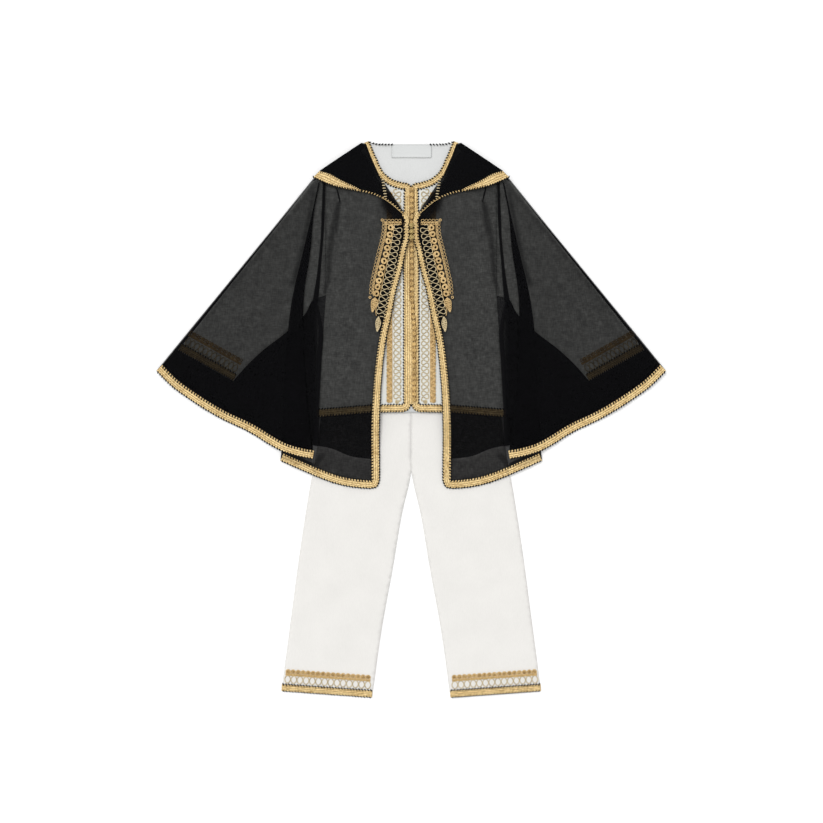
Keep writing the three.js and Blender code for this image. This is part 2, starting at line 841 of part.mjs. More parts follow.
/** Fronts of the cape, each folded over itself in one deep pleat beside the wing. */
function makeCapeFronts() {
  const pleatEdge = points(PLEAT_EDGE);
  const pleatBack = points(PLEAT_BACK);
  const edge = [...points(FRONT_HEM), ...points(FRONT_CORNER), ...points(FRONT_EDGE)];
  const centre = [
    ...pleatBack,
    ...edge,
    ...points([NECK_CORNER]),
    ...points(CAPE_NECK),
    ...points(CAPE_TOP),
  ];
  const turned = [...pleatBack, ...[...pleatEdge].reverse()];
  const wing = [
    ...points([WING_NECK, ...WING_HEM]),
    ...[...pleatEdge].reverse(),
  ];
  const below = layPair(centre, CLOTH);
  settle(...below);
  const between = layPair(turned, CLOTH);
  settle(...between);
  const above = layPair(wing, CLOTH);
  settle(...above);
  const smallPleat = ribbon(points(SMALL_PLEAT), -SMALL_PLEAT_WIDTH / 2, SMALL_PLEAT_WIDTH / 2);
  SIDES.forEach((side, index) => {
    const hidden = forSide(side, ribbon(pleatBack, 0, -FOLD_JOIN));
    const shown = forSide(side, ribbon(pleatEdge, 0, FOLD_JOIN));
    const ridge = below[index].top.map((height) => height + 2 * CLOTH);
    const front = solidOf(below[index])
      .add(solidOf(between[index]))
      .add(solidOf(above[index]))
      .add(cutOut(hidden, below[index].bottom, between[index].top))
      .add(cutOut(shown, between[index].bottom, above[index].top))
      .add(cutOut(forSide(side, smallPleat), below[index].bottom, ridge));
    piece(`cape_front_${side}`, front, 'voile');
  });
  return { below, above, edge };
}

/** Hood halves: the point under the cape, the turn at the shoulder, and the flap on top. */
function makeHood(sacks) {
  const flap = [...points(HOOD_TOP), ...points(HOOD_EDGE), ...points(HOOD_NECK)];
  const flaps = layPair(flap, CLOTH);
  settle(...flaps);
  const turn = ribbon(points(HOOD_TOP), 0, -HOOD_JOIN);
  SIDES.forEach((side, index) => {
    const half = solidOf(sacks[index])
      .add(solidOf(flaps[index]))
      .add(cutOut(forSide(side, turn), sacks[index].bottom, flaps[index].top));
    piece(`hood_${side}`, half, 'hood');
  });
  const face = points(HOOD_EDGE);
  const width = (along) => {
    const share = Math.max(0, 1 - HOOD_BRAID_TAPER * along);
    return -(HOOD_BRAID_THIN + (BRAID_WIDTH - HOOD_BRAID_THIN) * share);
  };
  const braid = [...face, ...offset(face, width).reverse()];
  piecePair('hood_braid', layPair(braid, BRAID_THICK, flaps), 'gold');
}

/** Braid, corded panels, looped cord and closing knots of the cape. */
function makeCapeTrims(cape) {
  const width = (along) => {
    return -(BRAID_WIDTH - BRAID_NARROWING * Math.max(0, along - BRAID_NARROWS_FROM));
  };
  const outline = [...cape.edge, ...offset(cape.edge, width).reverse()];
  const braids = layPair(outline, BRAID_THICK, cape.below);
  settle(...braids);
  piecePair('cape_braid', braids, 'gold');
  const hem = points(WING_HEM);
  piecePair('wing_braid', layPair(ribbon(hem, 0, -BRAID_WIDTH), BRAID_THICK, cape.above), 'gold');

  const outer = smooth(PANEL_OUTER).reverse();
  const edged = outer.slice(1).flatMap((to, index) => {
    return scallops([outer[index], to], PANEL_SCALLOPS, -PANEL_SCALLOP).slice(0, -1);
  });
  const panel = [...points([...PANEL_INNER, LEAF_TIP]), ...edged, outer[outer.length - 1]];
  const cord = cordAlong(smooth(CORD_AXIS, 4), CORD_REACH);
  SIDES.forEach((side, index) => {
    const base = lay(forSide(side, panel), BAND_THICK, cape.below[index]);
    let corded = solidOf(base);
    smooth(ROSETTE_LINE, 3).forEach((place) => {
      const [spot] = forSide(side, [place]);
      corded = corded.add(knotAt(base, spot, ROSETTE_RADIUS, ROSETTE_RISE));
    });
    piece(`chest_panel_${side}`, corded, 'gold');
    const line = lay(forSide(side, cord), CORD_THICK, cape.below[index]);
    const leaf = lay(forSide(side, points(SECOND_LEAF)), CORD_THICK, cape.below[index]);
    piece(`chest_cord_${side}`, solidOf(line).add(solidOf(leaf)), 'gold');
  });
  for (let index = 0; index < CLOSING_KNOTS; index += 1) {
    const y = CLOSING_KNOT_Y - index * CLOSING_KNOT_PITCH;
    const rim = new THREE.Vector2(-CLOSING_KNOT_RADIUS, y);
    const ball = new THREE.SphereGeometry(CLOSING_KNOT_RADIUS, CLOSING_KNOT_SIDES, KNOT_SIDES);
    ball.rotateX(Math.PI / 2);
    ball.translate(0, y, heightAt(braids[0], rim) + SEAM_GAP + CLOSING_KNOT_LIFT);
    piece(`cape_knot_${index + 1}`, toSolid(ball), 'knot');
  }
}

const trouserFronts = makeTrousers();
makeTrouserHems(trouserFronts);
const hoodSacks = layHoodPoint();
const capeBacks = layCapeBack();
piecePair('cape_back', capeBacks, 'voile');
const tunic = makeTunic();
makeTunicTrims(tunic.fronts, tunic.over);
const cape = makeCapeFronts();
makeHood(hoodSacks);
makeCapeTrims(cape);

export default suit;
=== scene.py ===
"""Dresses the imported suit: a sheer black hooded cape over a white tunic, and off-white trousers, laid flat.

Sizes are millimetres on the table, with x across and y up the suit, and lines are those of the viewer's
left half; the right half is their mirror. Meshes are made in metres.
"""

import sys

import logging
import math
from collections.abc import Callable, Mapping, Sequence
from dataclasses import dataclass, field
from enum import Enum
from typing import Any

import bmesh
import bpy
import numpy as np
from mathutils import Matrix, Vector
from mathutils.bvhtree import BVHTree
from mathutils.geometry import delaunay_2d_cdt


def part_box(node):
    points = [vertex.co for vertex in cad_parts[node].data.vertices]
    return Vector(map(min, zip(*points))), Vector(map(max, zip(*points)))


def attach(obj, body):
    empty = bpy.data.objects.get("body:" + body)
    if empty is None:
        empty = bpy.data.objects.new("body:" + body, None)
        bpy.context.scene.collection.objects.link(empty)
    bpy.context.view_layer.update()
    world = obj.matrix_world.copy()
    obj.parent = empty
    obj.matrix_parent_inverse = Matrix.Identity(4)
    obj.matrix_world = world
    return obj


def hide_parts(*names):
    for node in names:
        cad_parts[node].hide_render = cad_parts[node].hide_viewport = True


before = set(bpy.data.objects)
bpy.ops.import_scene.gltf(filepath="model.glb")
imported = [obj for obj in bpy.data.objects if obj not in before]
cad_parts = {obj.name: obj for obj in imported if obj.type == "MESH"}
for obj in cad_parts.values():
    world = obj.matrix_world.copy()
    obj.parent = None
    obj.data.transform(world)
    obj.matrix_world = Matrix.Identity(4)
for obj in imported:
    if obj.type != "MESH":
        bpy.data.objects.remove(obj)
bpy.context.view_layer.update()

log = logging.getLogger("jabador")

MM = 0.001
CLOTH_IN_CAD = 1.0

Line = np.ndarray
Height = Callable[[np.ndarray], np.ndarray]


class Side(Enum):
    """The viewer's left or right half of the suit."""

    LEFT = "left"
    RIGHT = "right"

    @property
    def turn(self) -> float:
        """What the left half's x is multiplied by on this side."""
        return 1.0 if self is Side.LEFT else -1.0

    def seed(self, left: int, apart: int = 1) -> int:
        """The seed of this side's piece, from that of the left side's."""
        return left if self is Side.LEFT else left + apart


class Face(Enum):
    """Which face of a solid a layer of cloth follows."""

    TOP = "top"
    UNDER = "under"


# Lines and outlines


def run_of(line: Line) -> np.ndarray:
    """How far along a line each of its points lies."""
    return np.concatenate([[0.0], np.cumsum(np.linalg.norm(np.diff(line, axis=0), axis=1))])


def sampled(line: Line, along: np.ndarray, places: np.ndarray) -> Line:
    """Points of a line at places, where along says how far along its own points lie."""
    return np.stack([np.interp(places, along, line[:, axis]) for axis in range(line.shape[1])], 1)


def even(line: Line, step: float) -> Line:
    """Spaces the points of a line about a step apart, with both ends kept."""
    along = run_of(line)
    count = max(int(round(along[-1] / step)), 1)
    return sampled(line, along, np.linspace(0, along[-1], count + 1))


def straight(corners: Sequence[Sequence[float]], step: float = 4.0) -> Line:
    """Draws straight stretches from point to point, with points about a step apart."""
    return even(np.asarray(corners, float), step)


def smooth(corners: Sequence[Sequence[float]], step: float = 3.0) -> Line:
    """Draws a smooth line through points.

    Args:
        corners: the points it goes through.
        step: about how far apart the points of the result lie.

    Returns:
        The line.
    """
    knots = np.asarray(corners, float)
    if len(knots) < 3:
        return even(knots, step)
    gaps = np.linalg.norm(np.diff(knots, axis=0), axis=1)
    along = run_of(knots)
    slope = np.gradient(knots, along, axis=0)
    places = np.linspace(0, along[-1], max(int(along[-1] / (step * 0.4)), 8))
    index = np.clip(np.searchsorted(along, places, side="right") - 1, 0, len(gaps) - 1)
    span = gaps[index][:, None]
    share = (places[:, None] - along[index][:, None]) / span
    start = (1 + 2 * share) * (1 - share) ** 2 * knots[index]
    leave = share * (1 - share) ** 2 * span * slope[index]
    end = share**2 * (3 - 2 * share) * knots[index + 1]
    arrive = share**2 * (share - 1) * span * slope[index + 1]
    return even(start + leave + end + arrive, step)


def joined(*lines: Line) -> Line:
    """Joins lines end to end and drops points that repeat the one before."""
    line = np.vstack(lines)
    fresh = np.linalg.norm(np.diff(line, axis=0), axis=1) > 0.05
    return line[np.concatenate([[True], fresh])]


def ring(*lines: Line) -> Line:
    """Joins lines into a closed outline, without its first point again at the end."""
    line = joined(*lines)
    if np.linalg.norm(line[0] - line[-1]) < 0.05:
        line = line[:-1]
    return line


def looped(outline: Line) -> Line:
    """An outline with its first point again at its end."""
    return np.vstack([outline, outline[:1]])


def oblong(left: float, low: float, right: float, high: float, step: float) -> Line:
    """Outline of an upright rectangle."""
    return ring(straight([(left, low), (right, low), (right, high), (left, high), (left, low)], step))


def round_line(centre: Sequence[float], reach: float, count: int) -> Line:
    """Draws a circle, without its first point again at the end."""
    turn = np.linspace(0, 2 * math.pi, count, endpoint=False)
    return np.asarray(centre) + reach * np.stack([np.cos(turn), np.sin(turn)], 1)


def unit(vectors: np.ndarray, least: float = 1e-9) -> np.ndarray:
    """Vectors brought to a length of one, apart from those shorter than the least."""
    return vectors / np.maximum(np.linalg.norm(vectors, axis=1, keepdims=True), least)


def right_hand(line: Line) -> Line:
    """Unit vectors to the right of a line's run at each of its points."""
    run = unit(np.gradient(line, axis=0))
    return np.stack([run[:, 1], -run[:, 0]], 1)


def shifted(line: Line, distance: float | np.ndarray) -> Line:
    """Moves a line to its right by a distance, or by one for each point."""
    return line + right_hand(line) * np.reshape(distance, (-1, 1))


def rolled(values: np.ndarray, reach: int) -> np.ndarray:
    """Running mean of rows, over reach rows to each side."""
    if reach < 1:
        return values
    padded = np.concatenate([np.repeat(values[:1], reach, 0), values, np.repeat(values[-1:], reach, 0)])
    total = np.cumsum(np.concatenate([np.zeros_like(padded[:1]), padded]), axis=0)
    return (total[2 * reach + 1 :] - total[: -2 * reach - 1]) / (2 * reach + 1)


def spokes(line: Line, reach: float, step: float) -> Line:
    """Vectors to the right of a line that turn gently round its corners.

    Args:
        line: the line, with its points evenly spaced.
        reach: how wide the strip is that hangs on the line.
        step: how far apart the points are.

    Returns:
        Vectors that reach a line one unit to the right.
    """
    square = right_hand(line)
    gentle = unit(rolled(square, int(reach / step)))
    slope = np.clip((gentle * square).sum(1, keepdims=True), 0.55, 1.0)
    return gentle / slope


def beside(line: Line, reach: float | np.ndarray) -> Line:
    """A line to the right of another, with its corners kept square.

    Args:
        line: the first line, with points about a millimetre apart.
        reach: how far away the new line is, or one distance for each point.

    Returns:
        The new line, with a point for each point of the first.
    """
    distance = np.broadcast_to(np.asarray(reach, float), (len(line),))
    return line + spokes(line, float(np.abs(distance).max()), 1.0) * distance[:, None]


def inside(points: np.ndarray, outline: Line) -> np.ndarray:
    """Tells which points lie inside an outline."""
    x, y = points[:, :1], points[:, 1:2]
    x0, y0 = outline[:, 0], outline[:, 1]
    x1, y1 = np.roll(x0, -1), np.roll(y0, -1)
    spans = (y0 > y) != (y1 > y)
    rise = np.where(y1 == y0, 1e-12, y1 - y0)
    crossing = x0 + (y - y0) / rise * (x1 - x0)
    return (spans & (x < crossing)).sum(1) % 2 == 1


def gap_to(points: np.ndarray, line: Line) -> tuple[np.ndarray, np.ndarray]:
    """Measures how far points are from a line.

    Args:
        points: the points, one a row.
        line: the line.

    Returns:
        The distance of each point, and how far along the line it lies, from 0 to 1.
    """
    start, run = line[:-1], np.diff(line, axis=0)
    length = np.linalg.norm(run, axis=1)
    before = run_of(line)[:-1]
    best = np.full(len(points), 1e9)
    along = np.zeros(len(points))
    for first in range(0, len(points), 4000):
        some = points[first : first + 4000, None, :2] - start[None]
        share = np.clip((some * run).sum(2) / np.maximum(length**2, 1e-12), 0, 1)
        gap = np.linalg.norm(some - share[..., None] * run, axis=2)
        nearest = gap.argmin(1)
        rows = np.arange(len(nearest))
        best[first : first + 4000] = gap[rows, nearest]
        along[first : first + 4000] = before[nearest] + share[rows, nearest] * length[nearest]
    return best, along / length.sum()


def nearest(points: np.ndarray, lines: Sequence[Line]) -> np.ndarray:
    """How far points are from the nearest of some lines."""
    return np.min([gap_to(points, line)[0] for line in lines], axis=0)


def ease(value: np.ndarray) -> np.ndarray:
    """Goes smoothly from 0 to 1 as the value does."""
    share = np.clip(value, 0, 1)
    return share * share * (3 - 2 * share)


def area_of(outline: Line) -> float:
    """Area of an outline, in square millimetres."""
    x, y = outline[:, 0], outline[:, 1]
    return abs(np.dot(x, np.roll(y, -1)) - np.dot(y, np.roll(x, -1))) / 2


def cut(
    outline: Line, step: float, seed: int, folds: Sequence[Line] = ()
) -> tuple[np.ndarray, np.ndarray]:
    """Fills an outline with small triangles.

    Args:
        outline: the closed outline.
        step: about how long a triangle's side is.
        seed: seeds the slight unevenness of the points.
        folds: lines whose points become corners of triangles, where they lie inside.

    Returns:
        The points, and the three corners of each triangle.
    """
    rng = np.random.default_rng(seed)
    low, high = outline.min(0), outline.max(0)
    rows = np.arange(low[1], high[1], step * 0.87)
    columns = np.arange(low[0], high[0], step)
    grid = np.stack(np.meshgrid(columns, rows), -1)
    grid[1::2, :, 0] += step / 2
    grid = grid.reshape(-1, 2)
    grid = grid + rng.uniform(-0.16, 0.16, grid.shape) * step
    grid = grid[inside(grid, outline)]
    rim = looped(outline)
    grid = grid[gap_to(grid, rim)[0] > step * 0.45]
    close = [fold[inside(fold, outline) & (gap_to(fold, rim)[0] > 0.4)] for fold in folds]
    for fold in folds:
        grid = grid[gap_to(grid, fold)[0] > step * 0.4]
    points = np.vstack([outline, *close, grid])
    made = delaunay_2d_cdt([Vector(p) for p in points.tolist()], [], [list(range(len(outline)))], 1, 1e-5)
    places = np.array([p[:] for p in made[0]])
    corners = np.array([f for f in made[2] if len(f) == 3])
    a, b, c = (places[corners[:, i]] for i in range(3))
    turned = np.cross(b - a, c - a) < 0
    corners[turned] = corners[turned][:, ::-1]
    return places, corners


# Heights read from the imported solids


@dataclass
class Lie:
    """How high one layer of cloth lies over the table, on an even grid that covers both halves."""

    heights: np.ndarray
    cell: float = 4.0
    half: tuple[float, float] = (376.0, 408.0)
    soften: float = 9.0

    @classmethod
    def read(cls, nodes: Sequence[str], face: Face, outline: Line) -> "Lie":
        """Reads a layer's middle from the solids that hold it.

        Args:
            nodes: names of the solids.
            face: the face of the solids that is the layer's own.
            outline: the layer's outline on the left half, which is mirrored.

        Returns:
            The layer's heights, softened as cloth lies.
        """
        blank = cls(np.zeros((1, 1)))
        xs = np.arange(-blank.half[0], blank.half[0] + 1, blank.cell)
        ys = np.arange(-blank.half[1], blank.half[1] + 1, blank.cell)
        grid = np.stack(np.meshgrid(xs, ys, indexing="ij"), -1).reshape(-1, 2)
        wanted = inside(grid, outline) | inside(grid * [-1, 1], outline)
        down = face is Face.TOP
        start, way = (1.0, Vector((0, 0, -1))) if down else (-1.0, Vector((0, 0, 1)))
        found = np.full(len(grid), np.nan)
        for name in nodes:
            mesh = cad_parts[name].data
            corners = [vertex.co[:] for vertex in mesh.vertices]
            tree = BVHTree.FromPolygons(corners, [polygon.vertices[:] for polygon in mesh.polygons])
            low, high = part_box(name)
            near = wanted & (grid[:, 0] > low.x / MM) & (grid[:, 0] < high.x / MM)
            near &= (grid[:, 1] > low.y / MM) & (grid[:, 1] < high.y / MM)
            for index in np.flatnonzero(near):
                x, y = grid[index] * MM
                hit = tree.ray_cast(Vector((x, y, start)), way)[0]
                if hit is not None:
                    found[index] = hit.z / MM + (-0.5 if down else 0.5) * CLOTH_IN_CAD
        return cls(cls.softened(found.reshape(len(xs), len(ys)), blank))

    @staticmethod
    def softened(heights: np.ndarray, blank: "Lie") -> np.ndarray:
        """Blurs heights, and carries them on past the layer's edge.

        Args:
            heights: the heights, not a number where there is no layer.
            blank: gives the grid's cell and how far to blur.

        Returns:
            The blurred heights, with no empty cell.
        """
        known = ~np.isnan(heights)
        total = np.where(known, heights, 0.0)
        result = np.full(heights.shape, float(total[known].mean()))
        for reach in (60.0, 25.0, blank.soften):
            span = int(3 * reach / blank.cell)
            kernel = np.exp(-0.5 * (np.arange(-span, span + 1) * blank.cell / reach) ** 2)
            weight = Lie.spread(known.astype(float), kernel)
            value = Lie.spread(total, kernel)
            sure = weight > 1e-3 * kernel.sum()
            result[sure] = value[sure] / weight[sure]
        return result

    @staticmethod
    def spread(values: np.ndarray, kernel: np.ndarray) -> np.ndarray:
        """Blurs a grid with the same kernel both ways."""
        for axis in (0, 1):
            values = np.apply_along_axis(lambda row: np.convolve(row, kernel, "same"), axis, values)
        return values

    def at(self, points: np.ndarray, side: Side = Side.LEFT) -> np.ndarray:
        """Gives the height at points.

        Args:
            points: points of the left half, or its mirror's.
            side: the half they are meant for.

        Returns:
            One height for each point.
        """
        x = (points[:, 0] * side.turn + self.half[0]) / self.cell
        y = (points[:, 1] + self.half[1]) / self.cell
        i = np.clip(x.astype(int), 0, self.heights.shape[0] - 2)
        j = np.clip(y.astype(int), 0, self.heights.shape[1] - 2)
        u, v = np.clip(x - i, 0, 1), np.clip(y - j, 0, 1)
        low = self.heights[i, j] * (1 - u) + self.heights[i + 1, j] * u
        high = self.heights[i, j + 1] * (1 - u) + self.heights[i + 1, j + 1] * u
        return low * (1 - v) + high * v


def lifted(height: Height, rise: float) -> Height:
    """A height with a rise added."""
    return lambda points: height(points) + rise


@dataclass(frozen=True)
class Crease:
    """A soft ridge, or a hollow where its height is negative, along a line."""

    line: tuple[tuple[float, float], ...]
    width: float
    height: float

    def at(self, points: np.ndarray) -> np.ndarray:
        """Height of the ridge at points, faded out towards its ends."""
        gap, along = gap_to(points, smooth(self.line))
        return self.height * np.exp(-((gap / self.width) ** 2)) * ease(4 * along) * ease(4 * (1 - along))


# Meshes


def quads(rows: int, columns: int) -> np.ndarray:
    """Corners of the squares between points that lie in rows, counted row by row."""
    first = np.arange(rows - 1)[:, None] * columns + np.arange(columns - 1)[None]
    return np.stack([first, first + 1, first + columns + 1, first + columns], -1).reshape(-1, 4)


@dataclass
class Work:
    """Points and faces gathered for one piece of one half, in the left half's millimetres."""

    side: Side = Side.LEFT
    points: list[np.ndarray] = field(default_factory=list)
    faces: list[list[int]] = field(default_factory=list)
    runs: list[np.ndarray] = field(default_factory=list)
    tones: list[np.ndarray] = field(default_factory=list)
    count: int = 0
    length: float = 0.0

    def add(
        self,
        points: np.ndarray,
        faces: np.ndarray | list[list[int]],
        run: np.ndarray | None = None,
        tone: float | np.ndarray = 0.0,
    ) -> None:
        """Adds a part.

        Args:
            points: its points, with heights.
            faces: its faces, which name its own points.
            run: how far along and across each point is, for strand patterns.
            tone: a number for the finish at each point, such as how folded or how dark it is.
        """
        self.points.append(points)
        self.faces.extend([[corner + self.count for corner in face] for face in faces])
        self.runs.append(points[:, :2] if run is None else run)
        self.tones.append(np.broadcast_to(np.asarray(tone, float), (len(points),)))
        self.count += len(points)

    def sheet(
        self, flat: np.ndarray, corners: np.ndarray, height: Height, tone: float | np.ndarray = 0.0
    ) -> None:
        """Adds a single open sheet at the given heights."""
        self.add(np.column_stack([flat, height(flat)]), corners, tone=tone)

    def shell(self, flat: np.ndarray, corners: np.ndarray, height: Height, thickness: float = 0.5) -> None:
        """Adds a closed sheet of some thickness.

        Args:
            flat: points on the table.
            corners: triangles between them.
            height: gives the height of the sheet's middle.
            thickness: how thick the cloth is.
        """
        middle = height(flat)
        directed = np.vstack([corners[:, [0, 1]], corners[:, [1, 2]], corners[:, [2, 0]]])
        sides = np.sort(directed, axis=1)
        _, index, times = np.unique(sides, axis=0, return_index=True, return_counts=True)
        rim = directed[index[times == 1]]
        half = np.full(len(flat), thickness / 2)
        half[np.unique(rim)] *= 0.55
        total = len(flat)
        top = np.column_stack([flat, middle + half])
        low = np.column_stack([flat, middle - half])
        walls = [[b, a, a + total, b + total] for a, b in rim.tolist()]
        faces = corners.tolist() + (corners[:, ::-1] + total).tolist() + walls
        self.add(np.vstack([top, low]), faces)

    def tube(
        self,
        line: np.ndarray,
        radius: float | np.ndarray,
        sides: int = 6,
        flat: float = 1.0,
        closed: bool = False,
        tone: float = 0.0,
    ) -> None:
        """Adds a round cord along a line.

        Args:
            line: its middle, with heights.
            radius: half its width, or one for each point.
            sides: how many sides its section has.
            flat: its height as a share of its width.
            closed: whether its ends meet.
            tone: a number for the finish.
        """
        run = unit(np.roll(line, -1, 0) - np.roll(line, 1, 0) if closed else np.gradient(line, axis=0))
        across = unit(np.stack([run[:, 1], -run[:, 0], np.zeros(len(run))], 1), 1e-6)
        up = np.cross(across, run)
        turn = np.linspace(0, 2 * math.pi, sides, endpoint=False)
        size = np.broadcast_to(np.asarray(radius, float), (len(line),))[:, None, None]
        sine = flat * np.sin(turn)
        circle = across[:, None] * np.cos(turn)[None, :, None] + up[:, None] * sine[None, :, None]
        points = (line[:, None] + circle * size).reshape(-1, 3)
        rings = len(line) if closed else len(line) - 1
        first = (np.arange(rings) * sides)[:, None]
        after = ((np.arange(rings) + 1) % len(line) * sides)[:, None]
        k = np.arange(sides)[None]
        faces = np.stack([first + k, first + (k + 1) % sides, after + (k + 1) % sides, after + k], -1)
        faces = faces.reshape(-1, 4)[:, ::-1].tolist()
        if not closed:
            faces.append(list(range(sides)))
            faces.append([(len(line) - 1) * sides + i for i in reversed(range(sides))])
        along = run_of(line)
        self.length += float(along[-1]) * MM
        runs = np.stack(np.broadcast_arrays(along[:, None], turn[None] / (2 * math.pi)), -1).reshape(-1, 2)
        self.add(points, faces, runs, tone)

    def band(
        self,
        line: Line,
        other: Line,
        height: Height,
        rows: int = 5,
        rise: float = 1.0,
        step: float = 0.75,
        columns: int = 15,
    ) -> None:
        """Adds a flat plaited braid between two lines.

        Args:
            line: its first edge.
            other: its second edge, with a point for each point of the first.
            height: gives the height of the cloth's top.
            rows: how many plaits lie side by side in it.
            rise: how thick it is.
            step: how far apart its sections are.
            columns: how many strips its width is made of.
        """
        along = run_of(line)
        count = max(int(round(along[-1] / step)), 2) + 1
        places = np.linspace(0, along[-1], count)
        both = sampled(np.hstack([line, other]), along, places)
        across = np.linspace(0, 1, columns + 1)
        flat = both[:, None, :2] * (1 - across)[None, :, None] + both[:, None, 2:] * across[None, :, None]
        part = across * rows
        index = np.minimum(part.astype(int), rows - 1)
        inner = part - index
        lean = np.where(index % 2 == 0, 1.0, -1.0)
        bulge = np.sqrt(np.clip(1 - (2 * inner - 1) ** 2, 0, 1))
        strand = np.cos(2 * math.pi * (places[:, None] / 3.0 + (lean * inner)[None] * 0.8))
        relief = rise * (0.6 + 0.35 * bulge[None] + 0.05 * strand * bulge[None])
        relief[:, [0, -1]] = rise * 0.45
        wide = columns + 1
        base = height(flat.reshape(-1, 2)).reshape(count, wide)
        top = np.concatenate([flat, (base + relief)[..., None]], -1)
        edge = np.concatenate([flat[:, [0, -1]], base[:, [0, -1], None] + 0.02], -1)
        upper = quads(count, wide)
        total = count * wide
        i = np.arange(count - 1)
        left = np.stack([i * wide, (i + 1) * wide, total + 2 * (i + 1), total + 2 * i], 1)
        last = i * wide + columns
        right = np.stack([last + wide, last, total + 2 * i + 1, total + 2 * i + 3], 1)
        under = np.stack([total + 2 * i, total + 2 * (i + 1), total + 2 * (i + 1) + 1, total + 2 * i + 1], 1)
        start = [*range(columns, -1, -1), total, total + 1]
        end = [*range((count - 1) * wide, count * wide), total + 2 * count - 1, total + 2 * count - 2]
        faces = np.vstack([upper, left, right, under]).tolist() + [start, end]
        spread = (right_hand(line) * (other - line)).sum(1).mean()
        if spread > 0:
            faces = [face[::-1] for face in faces]
        runs = np.stack(np.broadcast_arrays(places[:, None], across[None]), -1).reshape(-1, 2)
        side_runs = np.stack(np.broadcast_arrays(places[:, None], np.array([[0.0, 1.0]])), -1).reshape(-1, 2)
        points = np.vstack([top.reshape(-1, 3), edge.reshape(-1, 3)])
        self.add(points, faces, np.vstack([runs, side_runs]))

    def build(self, name: str, finish: bpy.types.Material, weld: float = 0.0) -> bpy.types.Object:
        """Makes the gathered parts into one object that rides on the suit.

        Args:
            name: the piece's name.
            finish: its material.
            weld: points closer than this, in millimetres, become one.

        Returns:
            The object.
        """
        points = np.vstack(self.points)
        runs = np.vstack(self.runs)
        tones = np.concatenate(self.tones)
        faces = self.faces
        if self.side is Side.RIGHT:
            points = points * [-1, 1, 1]
            faces = [face[::-1] for face in faces]
        mesh = bpy.data.meshes.new(name)
        mesh.from_pydata((points * MM).tolist(), [], faces)
        places = np.zeros(len(mesh.loops), int)
        mesh.loops.foreach_get("vertex_index", places)
        strands = mesh.uv_layers.new(name="strands")
        strands.data.foreach_set("uv", (runs[places] * [0.01, 1.0]).ravel())
        tone = mesh.attributes.new("tone", "FLOAT", "POINT")
        tone.data.foreach_set("value", tones.astype(np.float32))
        mesh.polygons.foreach_set("use_smooth", np.ones(len(mesh.polygons), bool))
        mesh.materials.append(finish)
        piece = bpy.data.objects.new(name, mesh)
        bpy.context.scene.collection.objects.link(piece)
        if weld:
            self.welded(mesh, weld)
        mesh.update()
        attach(piece, "root")
        log.info("%s: %d faces, %.2f m of cord", name, len(mesh.polygons), self.length)
        return piece

    @staticmethod
    def welded(mesh: bpy.types.Mesh, weld: float) -> None:
        """Makes points of a mesh one where they are closer than weld millimetres."""
        cloth = bmesh.new()
        cloth.from_mesh(mesh)
        bmesh.ops.remove_doubles(cloth, verts=cloth.verts, dist=weld * MM)
        cloth.to_mesh(mesh)
        cloth.free()


# Finishes


class Number:
    """A number that changes over a surface, with the usual arithmetic."""

    def __init__(self, recipe: "Recipe", socket: bpy.types.NodeSocket) -> None:
        """Wraps a socket of a recipe's node."""
        self.recipe = recipe
        self.socket = socket

    def maths(self, operation: str, *others: "Number | float") -> "Number":
        """Adds a Math node on this number and others."""
        values = {0: self} | {index + 1: other for index, other in enumerate(others)}
        return self.recipe.number("ShaderNodeMath", {"operation": operation}, values)

    def __add__(self, other: "Number | float") -> "Number":
        """This plus other."""
        return self.maths("ADD", other)

    __radd__ = __add__

    def __mul__(self, other: "Number | float") -> "Number":
        """This times other."""
        return self.maths("MULTIPLY", other)

    __rmul__ = __mul__

    def __sub__(self, other: "Number | float") -> "Number":
        """This less other."""
        return self.maths("SUBTRACT", other)

    def __rsub__(self, other: float) -> "Number":
        """Other less this."""
        return self.recipe.number("ShaderNodeMath", {"operation": "SUBTRACT"}, {0: other, 1: self})

    def __truediv__(self, other: "Number | float") -> "Number":
        """This divided by other."""
        return self.maths("DIVIDE", other)

    def __rpow__(self, other: float) -> "Number":
        """Other to the power of this."""
        return self.recipe.number("ShaderNodeMath", {"operation": "POWER"}, {0: other, 1: self})

    def __mod__(self, other: float) -> "Number":
        """What is left of this by other, never negative."""
        return self.maths("FLOORED_MODULO", other)

    def floor(self) -> "Number":
        """The whole number below this."""
        return self.maths("FLOOR")

    def size(self) -> "Number":
        """This without its sign."""
        return self.maths("ABSOLUTE")

    def wave(self) -> "Number":
        """Sine of this number of turns, brought to 0 to 1."""
        return (self * (2 * math.pi)).maths("SINE") * 0.5 + 0.5

    def above(self, low: float, high: float) -> "Number":
        """Goes smoothly from 0 to 1 as this goes from low to high."""
        settings = {"interpolation_type": "SMOOTHSTEP", "clamp": True}
        return self.recipe.number("ShaderNodeMapRange", settings, {0: self, 1: low, 2: high, 3: 0.0, 4: 1.0})

    def kept(self, low: float = 0.0, high: float = 1.0) -> "Number":
        """This, kept between low and high."""
        return self.maths("MAXIMUM", low).maths("MINIMUM", high)


Colour = tuple[float, float, float]


def linear(colour: Colour) -> Colour:
    """Turns screen values from 0 to 255 into light from 0 to 1."""
    shares = [value / 255 for value in colour]
    return tuple(s / 12.92 if s <= 0.04045 else ((s + 0.055) / 1.055) ** 2.4 for s in shares)


